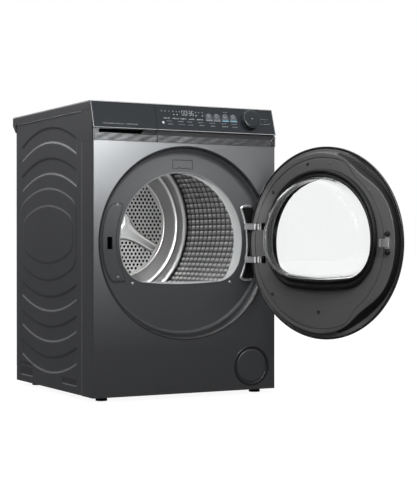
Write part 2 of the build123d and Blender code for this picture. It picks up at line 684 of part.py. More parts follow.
idler_arm_d = belt_d + belt_w + 2.0
idler_pivot = (117.0, 110.0)
motor_d = (326.0, 412.0)
motor_r = 44.0
fan_d = (428.0, 452.0)
fan_r = 54.0
with BuildPart() as motor_housing:
    rod(motor_x, motor_z, *motor_d, motor_r)
    rod(motor_x, motor_z, motor_d[0] + 8.0, motor_d[1] - 8.0, motor_r - 6.0, mode=Mode.SUBTRACT)
    rod(motor_x, motor_z, motor_d[0] - 1.0, motor_d[1] + 1.0, motor_shaft_r + shaft_gap, mode=Mode.SUBTRACT)
    block((motor_x - 30.0, motor_x + 30.0), (motor_d[0] + 15.0, motor_d[1] - 15.0),
          (tray_floor, motor_z - 42.0))
    rod(*idler_pivot, idler_arm_d - 4.0, motor_d[0], idler_bore_r)
motor_housing.part.label = "motor_housing"
export_step(motor_housing.part, "parts/motor_housing.step")

with BuildPart() as motor_shaft:
    rod(motor_x, motor_z, belt_d - 4.0, fan_d[1], motor_shaft_r)
    rod(motor_x, motor_z, belt_d - 2.0, belt_d + belt_w + 2.0, pulley_r)
    rod(motor_x, motor_z, motor_d[0] + 16.0, motor_d[1] - 16.0, motor_r - 12.0)
motor_shaft.part.label = "motor_shaft"
export_step(motor_shaft.part, "parts/motor_shaft.step")

blade_count = 24
with BuildPart() as fan_wheel:
    rod(motor_x, motor_z, fan_d[0], fan_d[0] + 2.0, fan_r)
    rod(motor_x, motor_z, fan_d[0], fan_d[1] - 2.0, 14.0)
    with BuildSketch(front_plane(fan_d[0] + 2.0)):
        with Locations((motor_x, motor_z)):
            with PolarLocations(fan_r - 8.0, blade_count):
                Rectangle(13.0, 1.6, rotation=30.0)
    extrude(amount=-(fan_d[1] - fan_d[0] - 2.0))
    rod(motor_x, motor_z, fan_d[0], fan_d[1], motor_shaft_r, mode=Mode.SUBTRACT)
fan_wheel.part.label = "fan_wheel"
export_step(fan_wheel.part, "parts/fan_wheel.step")

with BuildPart() as idler_arm:
    with BuildSketch(front_plane(idler_arm_d)):
        for arm_x, arm_z, arm_r in ((*idler_pivot, 10.0), (idler_x, idler_z, 8.0)):
            with Locations((arm_x, arm_z)):
                Circle(arm_r)
        make_hull()
        with Locations(idler_pivot):
            Circle(idler_bore_r + shaft_gap, mode=Mode.SUBTRACT)
    extrude(amount=-3.0)
    rod(idler_x, idler_z, belt_d - 3.0, idler_arm_d, idler_bore_r)
idler_arm.part.label = "idler_arm"
export_step(idler_arm.part, "parts/idler_arm.step")

with BuildPart() as idler_pulley:
    rod(idler_x, idler_z, belt_d - 2.0, belt_d + belt_w + 1.5, idler_r)
    rod(idler_x, idler_z, belt_d - 2.0, belt_d + belt_w + 1.5, idler_bore_r + shaft_gap, mode=Mode.SUBTRACT)
idler_pulley.part.label = "idler_pulley"
export_step(idler_pulley.part, "parts/idler_pulley.step")

for roller_name, side in (("left", -1), ("right", 1)):
    with BuildPart() as front_roller:
        rod(side * roller_x, roller_z, *roller_d, roller_r)
        rod(side * roller_x, roller_z, *roller_d, roller_pin_r + shaft_gap, mode=Mode.SUBTRACT)
    front_roller.part.label = f"front_roller_{roller_name}"
    export_step(front_roller.part, f"parts/front_roller_{roller_name}.step")

# ---------------------------------------------------------------- heat pump and electrics
exchanger_x = (-270.0, -70.0)
exchanger_z = (tray_floor, 150.0)


def fin_block(d0, d1, count):
    # plate fins between two end plates, with tubes through them
    x0, x1 = exchanger_x
    pitch = (x1 - x0 - 2.0) / count
    for fin in range(count + 1):
        fin_x = x0 + fin * pitch
        block((fin_x, fin_x + 2.0), (d0, d1), exchanger_z)
    for row in range(2):
        for tube in range(4):
            with Locations(((x0 + x1) / 2, at(d0 + (d1 - d0) * (0.3 + 0.4 * row)),
                            exchanger_z[0] + 20.0 + 30.0 * tube)):
                Cylinder(4.0, x1 - x0, rotation=(0, 90, 0))


with BuildPart() as evaporator:
    fin_block(110.0, 175.0, 18)
evaporator.part.label = "evaporator"
export_step(evaporator.part, "parts/evaporator.step")

with BuildPart() as condenser:
    fin_block(190.0, 285.0, 18)
condenser.part.label = "condenser"
export_step(condenser.part, "parts/condenser.step")

compressor_x = -205.0
compressor_d = 455.0
compressor_r = 55.0
with BuildPart() as compressor:
    post(compressor_x, compressor_d, tray_floor + 14.0, 200.0, compressor_r)
    fillet(compressor.edges().filter_by(GeomType.CIRCLE), 18.0)
    for mount_x in (-46.0, 46.0):
        for mount_d in (-46.0, 46.0):
            post(compressor_x + mount_x, compressor_d + mount_d, tray_floor, tray_floor + 14.0, 11.0)
    with BuildSketch(Plane.XY.offset(tray_floor + 10.0)):
        with Locations((compressor_x, at(compressor_d))):
            RectangleRounded(122.0, 122.0, 20.0)
    extrude(amount=6.0)
compressor.part.label = "compressor"
export_step(compressor.part, "parts/compressor.step")

with BuildPart() as condensate_pump:
    block((-60.0, -10.0), (480.0, 540.0), (tray_floor, 60.0))
    post(-35.0, 510.0, 60.0, 88.0, 16.0)
condensate_pump.part.label = "condensate_pump"
export_step(condensate_pump.part, "parts/condensate_pump.step")

with BuildPart() as control_board_box:
    block((200.0, 288.0), (100.0, 230.0), (750.0, 792.0))
    block((202.0, 286.0), (102.0, 228.0), (752.0, 790.0), mode=Mode.SUBTRACT)
    block((206.0, 282.0), (106.0, 224.0), (760.0, 762.0))
    for board_post in ((208.0, 110.0), (280.0, 110.0), (208.0, 220.0), (280.0, 220.0)):
        post(*board_post, 752.0, 760.0, 2.5)
control_board_box.part.label = "control_board_box"
export_step(control_board_box.part, "parts/control_board_box.step")

with BuildPart() as mains_inlet:
    block((inlet_x - inlet_size[0] / 2, inlet_x + inlet_size[0] / 2), (depth - 26.0, depth + 2.0),
          (inlet_z - inlet_size[1] / 2, inlet_z + inlet_size[1] / 2))
    block((inlet_x - 15.0, inlet_x + 15.0), (depth - 16.0, depth + 2.0), (inlet_z - 11.0, inlet_z + 11.0),
          mode=Mode.SUBTRACT)
    for blade_x in (-8.0, 0.0, 8.0):
        block((inlet_x + blade_x - 1.0, inlet_x + blade_x + 1.0), (depth - 16.0, depth - 3.0),
              (inlet_z - 3.0, inlet_z + 3.0))
mains_inlet.part.label = "mains_inlet"
export_step(mains_inlet.part, "parts/mains_inlet.step")

# ---------------------------------------------------------------- door
ring_inner_r = 198.0
window = (180.0, 186.0, -103.0, 62.0)
window_gap = 1.0
window_t = 4.0
window_deep_d = 72.0
window_shrink = 38.0
gasket = (198.0, 212.0, -135.0, 80.0)
grip_arc = 130.0           # finger scoop on the free side, degrees
slot_rise = arm_h / 2 + 1.5
gasket_h = 14.0
door_screw_r = 4.5
door_screw_at = ((47.0, 226.0), (175.0, 148.0), (178.0, -150.0), (7.0, -198.0))


def arm_slots(reach):
    # room for the two hinge arms over the whole swing
    for arm_z in arm_zs:
        slot_z = (arm_z - slot_rise, arm_z + slot_rise)
        block((200.0, 262.0), (-14.5, reach), slot_z, mode=Mode.SUBTRACT)
        block((250.0, door_r + 1.0), (2.5, reach), slot_z, mode=Mode.SUBTRACT)


with BuildPart() as door_outer_ring:
    turned([(door_r, door_rim_d), (door_r - 4.0, -13.0), (262.0, -20.0), (245.0, -25.5), (225.0, -28.0),
            (ring_inner_r, -28.5), (ring_inner_r, -25.5), (224.0, -25.0), (243.0, -22.5), (259.5, -17.5),
            (268.5, -11.0), (door_r - 6.0, door_rim_d)], door_z)
door_outer_ring.part.label = "door_outer_ring"
export_step(swung(door_outer_ring.part), "parts/door_outer_ring.step")

with BuildPart() as door_outer_glass:
    rod(0, door_z, -30.0, -23.4, ring_inner_r - running)
    rod(0, door_z, -24.9, -23.4, ring_inner_r + 8.0)
    rod(0, door_z, -26.0, -23.4, ring_inner_r - 14.0, mode=Mode.SUBTRACT)
door_outer_glass.part.label = "door_outer_glass"
export_step(swung(door_outer_glass.part), "parts/door_outer_glass.step")

liner_r_out = door_r - 6.0 - running
face_r = 258.0
scoop_r = (242.0, 261.0)
with BuildPart() as door_liner:
    turned([(100, door_face_d - wall), (face_r - 2.0, door_face_d - wall), (liner_r_out - 4.0, door_rim_d),
            (liner_r_out, door_rim_d), (face_r, door_face_d), (100, door_face_d)], door_z)
    rod(0, door_z, door_face_d - wall, door_face_d, 101.0)
    turned([(scoop_r[0], door_face_d + 1.0), (scoop_r[0], -8.0), (scoop_r[1], -8.0),
            (scoop_r[1] + 3.0, door_face_d + 1.0)], door_z, grip_arc, 180.0 - grip_arc / 2, Mode.SUBTRACT)
    turned([(scoop_r[0] - 2.5, door_face_d), (scoop_r[0] - 2.5, -10.5), (scoop_r[1] + 3.0, -10.5),
            (liner_r_out, door_rim_d), (liner_r_out - 4.0, door_rim_d), (scoop_r[1], -8.0), (scoop_r[0], -8.0),
            (scoop_r[0], door_face_d)], door_z, grip_arc, 180.0 - grip_arc / 2)
    d_prism(window, window_gap, door_face_d - wall - 2.0, door_face_d + 2.0, Mode.SUBTRACT)
    block((latch_x - 8.0, latch_x + 8.0), (door_face_d - wall - 8.0, door_face_d - wall),
          (door_z - 30.0, door_z + 30.0))
    arm_slots(door_face_d + 2.0)
    for screw_x, screw_z in door_screw_at:
        rod(screw_x, door_z + screw_z, door_face_d - wall - 1.0, door_face_d + 1.0, door_screw_r + 0.2,
            mode=Mode.SUBTRACT)
door_liner.part.label = "door_liner"
export_step(swung(door_liner.part), "parts/door_liner.step")

with BuildPart() as door_screws:
    for screw_x, screw_z in door_screw_at:
        rod(screw_x, door_z + screw_z, door_face_d - wall - 6.0, door_face_d - wall, door_screw_r / 2)
        rod(screw_x, door_z + screw_z, door_face_d - wall, door_face_d - 1.0, door_screw_r)
door_screws.part.label = "door_screws"
export_step(swung(door_screws.part), "parts/door_screws.step")

with BuildPart() as door_gasket:
    d_prism(gasket, 0.0, door_face_d, door_face_d + gasket_h)
    d_prism(window, window_gap, door_face_d - 1.0, door_face_d + gasket_h + 1.0, Mode.SUBTRACT)
door_gasket.part.label = "door_gasket"
export_step(swung(door_gasket.part), "parts/door_gasket.step")


def bowl(inset, d0, d1, mode):
    # the window bowl: the D outline narrowing towards the drum
    half, top, bottom, corner = window
    near = d_face(half - inset, top - inset, bottom + inset, corner - inset, d0)
    far = d_face(half - inset - window_shrink, top - inset - window_shrink, bottom + inset + window_shrink,
                 corner - inset, d1)
    loft(near.faces() + far.faces(), mode=mode)


window_flange_d = door_face_d - wall - window_t - 0.2
with BuildPart() as door_window:
    bowl(0.0, window_flange_d, window_deep_d, Mode.ADD)
    d_prism(window, 9.0, window_flange_d, window_flange_d + window_t)
    bowl(window_t, window_flange_d - 0.01, window_deep_d - window_t, Mode.SUBTRACT)
door_window.part.label = "door_window"
export_step(swung(door_window.part), "parts/door_window.step")

bracket_x = (232.0, 246.5)
bracket_rise = pin_rise + 1.0
with BuildPart() as door_hinge_bracket:
    block(bracket_x, (hinge_d - 6.0, door_face_d - wall), (door_z - bracket_rise, door_z + bracket_rise))
    for arm_z in arm_zs:
        block((bracket_x[0] - 1.0, bracket_x[1] + 1.0), (hinge_d - 7.0, door_face_d),
              (arm_z - slot_rise, arm_z + slot_rise), mode=Mode.SUBTRACT)
    block((bracket_x[0], bracket_x[1]), (hinge_d - 9.0, hinge_d - 6.0),
          (door_z - bracket_rise, door_z + bracket_rise))
    post(hinge_x, hinge_d, door_z - pin_rise - 0.5, door_z + pin_rise + 0.5, hinge_pin_r + shaft_gap,
         mode=Mode.SUBTRACT)
door_hinge_bracket.part.label = "door_hinge_bracket"
export_step(swung(door_hinge_bracket.part), "parts/door_hinge_bracket.step")

hook_tip_d = dish_d + wall + 8.0
with BuildPart() as door_latch_hook:
    block((latch_x - 4.0, latch_x + 4.0), (door_face_d, hook_tip_d), (door_z - 11.0, door_z + 11.0))
    block((latch_x - 5.0, latch_x + 5.0), (dish_d + wall, hook_tip_d - 3.0), (door_z - 7.0, door_z + 7.0),
          mode=Mode.SUBTRACT)
    block((latch_x - 7.0, latch_x + 7.0), (door_face_d, door_face_d + 2.0), (door_z - 16.0, door_z + 16.0))
door_latch_hook.part.label = "door_latch_hook"
export_step(swung(door_latch_hook.part), "parts/door_latch_hook.step")

with BuildPart() as door_buffers:
    for side in (-1, 1):
        rod(latch_x + 1.0, door_z + side * 26.0, door_face_d, door_face_d + 7.0, 6.5)
door_buffers.part.label = "door_buffers"
export_step(swung(door_buffers.part), "parts/door_buffers.step")
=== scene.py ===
import json
from math import atan2, cos, pi, radians, sin, sqrt

import bmesh
import bpy
import numpy as np
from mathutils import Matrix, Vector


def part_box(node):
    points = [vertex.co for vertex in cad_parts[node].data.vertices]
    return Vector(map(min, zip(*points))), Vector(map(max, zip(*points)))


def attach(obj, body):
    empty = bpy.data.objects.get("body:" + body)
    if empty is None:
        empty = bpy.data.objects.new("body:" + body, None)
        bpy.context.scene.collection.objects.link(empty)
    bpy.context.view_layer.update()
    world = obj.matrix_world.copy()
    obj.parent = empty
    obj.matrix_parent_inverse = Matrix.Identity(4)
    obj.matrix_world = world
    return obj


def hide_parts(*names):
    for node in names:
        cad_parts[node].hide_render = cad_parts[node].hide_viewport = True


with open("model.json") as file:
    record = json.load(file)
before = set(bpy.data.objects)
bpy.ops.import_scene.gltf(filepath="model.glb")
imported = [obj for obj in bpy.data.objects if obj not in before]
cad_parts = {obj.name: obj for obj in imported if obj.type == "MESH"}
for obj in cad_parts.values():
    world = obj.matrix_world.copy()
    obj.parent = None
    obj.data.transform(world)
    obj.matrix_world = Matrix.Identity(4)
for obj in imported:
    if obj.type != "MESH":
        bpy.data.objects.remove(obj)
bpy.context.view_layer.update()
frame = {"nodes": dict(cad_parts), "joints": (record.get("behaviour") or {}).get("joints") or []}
print("frame loaded:", len(frame["nodes"]), "nodes")

mm = 0.001
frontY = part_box("front_panel")[0].y        # outer face of the front panel
doorZ = 448.0                              # centre of the door, mm above the floor
drumZ = 508.0                              # centre of the drum
swing = next(j for j in frame["joints"] if j["name"] == "door_swing")
hingeX, hingeD = swing["pos_m"][0] / mm, (swing["pos_m"][1] - frontY) / mm
doorOpen = radians(-swing["range_deg"][0])
slope = atan2(24.8, 78.0)                  # lean of the control panel
panelFoot = (-4.4, 772.0)                  # depth and height of its lower edge

panelOut = (0, -cos(slope), sin(slope))     # out of the control panel's face

# Points are worked out in millimetres as (x, depth behind the front panel's face, z).


def toFrame(points):
    # Millimetres to metres, with the depth measured from the front panel's face.
    made = np.asarray(points, float) * mm
    made[:, 1] += frontY
    return made


def swungOpen(points):
    # A turn about the hinge pin, from the closed door to the open one.
    p = np.array(points, float)
    x, d = p[:, 0] - hingeX, p[:, 1] - hingeD
    p[:, 0] = hingeX + x * cos(doorOpen) - d * sin(doorOpen)
    p[:, 1] = hingeD + x * sin(doorOpen) + d * cos(doorOpen)
    return p


def onPanel(points):
    # (across, up the slope, out of the face) of the control panel to (x, depth, z).
    p = np.asarray(points, float)
    depth = panelFoot[0] + p[:, 1] * sin(slope) - p[:, 2] * cos(slope)
    return np.column_stack((p[:, 0], depth, panelFoot[1] + p[:, 1] * cos(slope) + p[:, 2] * sin(slope)))


def gridFaces(rows, columns, wrapRows=False, wrapColumns=False, start=0):
    # Quads between neighbouring points of a grid stored row after row.
    r = np.arange(rows if wrapRows else rows - 1)[:, None]
    c = np.arange(columns if wrapColumns else columns - 1)[None, :]
    a = r * columns + c
    b = r * columns + (c + 1) % columns
    e = (r + 1) % rows * columns + (c + 1) % columns
    f = (r + 1) % rows * columns + c
    return (np.stack((a, b, e, f), -1).reshape(-1, 4) + start).tolist()


def piece(name, points, faces, body, finish, slot=None, replaces=(), door=False, sharp=38.0):
    # One closed surface: placed in the frame, shaded, and riding on its body.
    points = swungOpen(points) if door else points
    mesh = bpy.data.meshes.new(name)
    mesh.from_pydata(toFrame(points).tolist(), [], faces)
    work = bmesh.new()
    work.from_mesh(mesh)
    bmesh.ops.remove_doubles(work, verts=work.verts, dist=1e-6)
    bmesh.ops.recalc_face_normals(work, faces=work.faces)
    work.to_mesh(mesh)
    work.free()
    mesh.polygons.foreach_set("use_smooth", np.ones(len(mesh.polygons), bool))
    mesh.set_sharp_from_angle(angle=radians(sharp))
    mesh.materials.append(finishes[finish])
    made = bpy.data.objects.new(name, mesh)
    bpy.context.scene.collection.objects.link(made)
    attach(made, body)
    if replaces:
        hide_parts(*replaces)
    return made


def fullTurn(steps):
    return np.linspace(0, 2 * pi, steps, endpoint=False)


def polar(radius, angle):
    # (radius, angle) to (across, up).
    return np.column_stack((radius * np.cos(angle), radius * np.sin(angle)))


def stacked(rings):
    # Rings with the same count of points, each joined to the next and the last to the first.
    return np.vstack(rings), gridFaces(len(rings), len(rings[0]), True, True)


def capped(top, base):
    # A closed bar from the grids of its top and its base, with both ends filled.
    loop = np.concatenate((top, base[:, ::-1]), 1)
    rows, columns = loop.shape[:2]
    ends = [list(range(columns))[::-1], list(range((rows - 1) * columns, rows * columns))]
    return loop.reshape(-1, 3), gridFaces(rows, columns, False, True) + ends


def sheetFaces(rows, columns):
    # Faces of two grids, one behind the other, and the walls round their edges.
    edge = np.concatenate((np.arange(columns), np.arange(1, rows) * columns + columns - 1,
                           (rows - 1) * columns + np.arange(columns - 2, -1, -1),
                           np.arange(rows - 2, 0, -1) * columns))
    after, count = np.roll(edge, -1), rows * columns
    walls = np.stack((edge, after, after + count, edge + count), -1).tolist()
    return gridFaces(rows, columns) + walls + gridFaces(rows, columns, start=count)


def soften(points, times=2, closed=True):
    # Corner cutting: each edge keeps the points a quarter and three quarters along it.
    p = np.asarray(points, float)
    for _ in range(times):
        q = np.roll(p, -1, 0) if closed else p[1:]
        head = p if closed else p[:-1]
        cut = np.stack((0.75 * head + 0.25 * q, 0.25 * head + 0.75 * q), 1).reshape(-1, p.shape[1])
        p = cut if closed else np.vstack((p[:1], cut, p[-1:]))
    return p


def turned(profile, x=0.0, z=0.0, steps=96, closed=True):
    # A (radius, depth) outline carried round an axis that runs front to back.
    p = np.asarray(profile, float)
    angle = fullTurn(steps)[:, None]
    points = np.stack((x + p[:, 0] * np.cos(angle), p[:, 1] + 0 * angle, z + p[:, 0] * np.sin(angle)), -1)
    return points.reshape(-1, 3), gridFaces(steps, len(p), True, closed)


def turnedOnPanel(profile, x, s, steps=64):
    # A (radius, height) outline carried round an axis that stands on the control panel.
    p = np.asarray(profile, float)
    angle = fullTurn(steps)[:, None]
    points = np.stack((x + p[:, 0] * np.cos(angle), s + p[:, 0] * np.sin(angle), p[:, 1] + 0 * angle), -1)
    return onPanel(points.reshape(-1, 3)), gridFaces(steps, len(p), True, False)


def bead(path, section, up=(0, -1, 0), closed=False):
    # A (sideways, upwards) section carried along a path, level with the direction up.
    p = np.asarray(path, float)
    s = np.asarray(section, float)
    along = np.roll(p, -1, 0) - np.roll(p, 1, 0) if closed else np.gradient(p, axis=0)
    along /= np.linalg.norm(along, axis=1)[:, None]
    side = np.cross(along, up)
    side /= np.linalg.norm(side, axis=1)[:, None]
    top = np.cross(side, along)
    points = p[:, None] + side[:, None] * s[None, :, :1] + top[:, None] * s[None, :, 1:]
    count, around = len(p), len(s)
    faces = gridFaces(count, around, closed, True)
    if not closed:
        faces += [list(range(around))[::-1], list(range((count - 1) * around, count * around))]
    return points.reshape(-1, 3), faces


def roundSection(radius, flat=1.0, steps=10):
    # Points of an ellipse: radius sideways, radius times flat upwards.
    angle = fullTurn(steps)
    return np.column_stack((radius * np.cos(angle), radius * flat * np.sin(angle)))


def joined(*shapes):
    # Several (points, faces) pairs as one.
    points, faces, count = [], [], 0
    for p, f in shapes:
        faces += [[i + count for i in face] for face in f]
        points.append(np.asarray(p, float))
        count += len(p)
    return np.vstack(points), faces


def smooth(low, high, value):
    # 0 below low, 1 above high, an S curve between.
    t = np.clip((value - low) / (high - low), 0, 1)
    return t * t * (3 - 2 * t)


def brick(x, d, z):
    # A box from (low, high) pairs.
    points = [(x[i], d[j], z[k]) for i in (0, 1) for j in (0, 1) for k in (0, 1)]
    return points, [(0, 1, 3, 2), (4, 6, 7, 5), (0, 4, 5, 1), (2, 3, 7, 6), (0, 2, 6, 4), (1, 5, 7, 3)]


def cutBox(made, x, d, z, door=False):
    # Takes a box out of a finished piece.
    points, faces = brick(x, d, z)
    mesh = bpy.data.meshes.new("cutter")
    mesh.from_pydata(toFrame(swungOpen(points) if door else points).tolist(), [], faces)
    cutter = bpy.data.objects.new("cutter", mesh)
    bpy.context.scene.collection.objects.link(cutter)
    cut = made.modifiers.new("cut", "BOOLEAN")
    cut.operation, cut.object, cut.solver = "DIFFERENCE", cutter, "EXACT"
    bpy.context.view_layer.update()
    graph = bpy.context.evaluated_depsgraph_get()
    made.data = bpy.data.meshes.new_from_object(made.evaluated_get(graph))
    made.modifiers.clear()
    bpy.data.objects.remove(cutter)
    made.data.set_sharp_from_angle(angle=radians(38))


outlineSteps = 720                          # points round a D-shaped outline or a large circle
flatBow = 5.0                               # how far the foot of a D shape bows down in the middle


def roundedD(shape, grow=0.0, count=outlineSteps):
    # A circle cut flat below, its two corners arcs that touch the circle and the flat.
    # Points stand at even angles round the middle of the shape, as (x, z) from the door's centre.
    half, top, bottom, corner = shape
    big, centre = half + grow, top - half
    low, small = bottom - grow, corner + grow
    reach = sqrt((big - small) ** 2 - (low + small - centre) ** 2)
    meet = atan2(low + small - centre, reach)
    a = np.linspace(meet, pi - meet, 600)
    b = np.linspace(pi - meet, 1.5 * pi, 120)
    c = np.linspace(1.5 * pi, 2 * pi + meet, 120)
    flat = np.linspace(-reach, reach, 200)
    low = low + flatBow
    foot = low - flatBow + flatBow * (flat / reach) ** 2
    x = np.concatenate((big * np.cos(a), -reach + small * np.cos(b), flat, reach + small * np.cos(c)))
    z = np.concatenate((centre + big * np.sin(a), low + small + small * np.sin(b), foot,
                        low + small + small * np.sin(c)))
    middle = (top + bottom) / 2
    angle = np.unwrap(np.arctan2(z - middle, x))
    want = fullTurn(count)
    far = np.interp(want, angle, np.hypot(x, z - middle), period=2 * pi)
    return np.column_stack((far * np.cos(want), middle + far * np.sin(want)))


def ringOf(outline, depth):
    # (x, z) points from the door's centre at one depth.
    return np.column_stack((outline[:, 0], np.broadcast_to(depth, len(outline)), doorZ + outline[:, 1]))


def circleOutline(radius):
    return polar(radius, fullTurn(outlineSteps))


# Materials. Each starts from these nodes: object coordinates, a noise, a colour and a bump.


def material(name, color, rough=0.4, metal=0.0, mottle=0.08, grain=400.0, bump=0.05, stretch=(1, 1, 1),
             coat=0.0, coatRough=0.08, roughSpread=0.08, spec=0.5, blend=None, glow=None):
    made = bpy.data.materials.new(name)
    made.use_nodes = True
    nodes, links = made.node_tree.nodes, made.node_tree.links
    shader = nodes["Principled BSDF"]
    shader.inputs["Metallic"].default_value = metal
    shader.inputs["Specular IOR Level"].default_value = spec
    shader.inputs["Coat Weight"].default_value = coat
    shader.inputs["Coat Roughness"].default_value = coatRough
    place = nodes.new("ShaderNodeTexCoord")
    mapping = nodes.new("ShaderNodeMapping")
    mapping.inputs["Scale"].default_value = stretch
    links.new(place.outputs["Object"], mapping.inputs["Vector"])
    fine = nodes.new("ShaderNodeTexNoise")
    fine.inputs["Scale"].default_value = grain
    fine.inputs["Detail"].default_value = 3.0
    links.new(mapping.outputs["Vector"], fine.inputs["Vector"])
    broad = nodes.new("ShaderNodeTexNoise")
    broad.inputs["Scale"].default_value = 6.0
    links.new(place.outputs["Object"], broad.inputs["Vector"])
    mix = nodes.new("ShaderNodeMix")
    mix.data_type = "RGBA"
    low = [c * (1 - mottle) for c in color]
    high = [min(1.0, c * (1 + mottle)) for c in color]
    if blend:
        high = list(blend)
    mix.inputs["A"].default_value = (*low, 1)
    mix.inputs["B"].default_value = (*high, 1)
    half = nodes.new("ShaderNodeMath")
    half.operation = "MULTIPLY"
    links.new(fine.outputs["Fac"], half.inputs[0])
    links.new(broad.outputs["Fac"], half.inputs[1])
    spread = nodes.new("ShaderNodeMapRange")
    spread.inputs["From Min"].default_value = 0.12
    spread.inputs["From Max"].default_value = 0.42
    links.new(half.outputs[0], spread.inputs["Value"])
    links.new(spread.outputs["Result"], mix.inputs["Factor"])
    links.new(mix.outputs["Result"], shader.inputs["Base Color"])
    gloss = nodes.new("ShaderNodeMapRange")
    gloss.inputs["To Min"].default_value = max(0.02, rough - roughSpread / 2)
    gloss.inputs["To Max"].default_value = rough + roughSpread / 2
    links.new(fine.outputs["Fac"], gloss.inputs["Value"])
    links.new(gloss.outputs["Result"], shader.inputs["Roughness"])
    if bump:
        lift = nodes.new("ShaderNodeBump")
        lift.inputs["Strength"].default_value = bump
        lift.inputs["Distance"].default_value = 0.0004
        links.new(fine.outputs["Fac"], lift.inputs["Height"])
        links.new(lift.outputs["Normal"], shader.inputs["Normal"])
    if glow:
        shader.inputs["Emission Color"].default_value = (*glow[:3], 1)
        shader.inputs["Emission Strength"].default_value = glow[3]
    return made


def shade(made, source, low, high, tint):
    # Blends the base colour to a tint as a coordinate runs from low to high. The source is ("Normal", "Z")
    # for the slope, or ("Object", "Y"), or ("Radius", z) for the distance from a line along y at height z.
    nodes, links = made.node_tree.nodes, made.node_tree.links
    place, split, fade, mix = (nodes.new("ShaderNode" + kind) for kind in
                               ("TexCoord", "SeparateXYZ", "MapRange", "Mix"))
    if source[0] == "Radius":
        shift, far = nodes.new("ShaderNodeVectorMath"), nodes.new("ShaderNodeVectorMath")
        shift.operation, far.operation = "MULTIPLY_ADD", "LENGTH"
        shift.inputs[1].default_value, shift.inputs[2].default_value = (1, 0, 1), (0, 0, -source[1])
        links.new(place.outputs["Object"], shift.inputs[0])
        links.new(shift.outputs["Vector"], far.inputs[0])
        links.new(far.outputs["Value"], fade.inputs["Value"])
    else:
        links.new(place.outputs[source[0]], split.inputs[0])
        links.new(split.outputs[source[1]], fade.inputs["Value"])
    fade.inputs["From Min"].default_value, fade.inputs["From Max"].default_value = low, high
    mix.data_type = "RGBA"
    base = nodes["Principled BSDF"].inputs["Base Color"]
    if base.links:
        links.new(base.links[0].from_socket, mix.inputs["A"])
    else:
        mix.inputs["A"].default_value = base.default_value
    mix.inputs["B"].default_value = (*tint, 1)
    links.new(fade.outputs["Result"], mix.inputs["Factor"])
    links.new(mix.outputs["Result"], base)
    return made


def glass(name, color, rough=0.0, ior=1.45):
    made = material(name, color, rough=rough, mottle=0.01, grain=60.0, bump=0.0, roughSpread=0.01)
    shader = made.node_tree.nodes["Principled BSDF"]
    shader.inputs["Transmission Weight"].default_value = 1.0
    shader.inputs["IOR"].default_value = ior
    return made


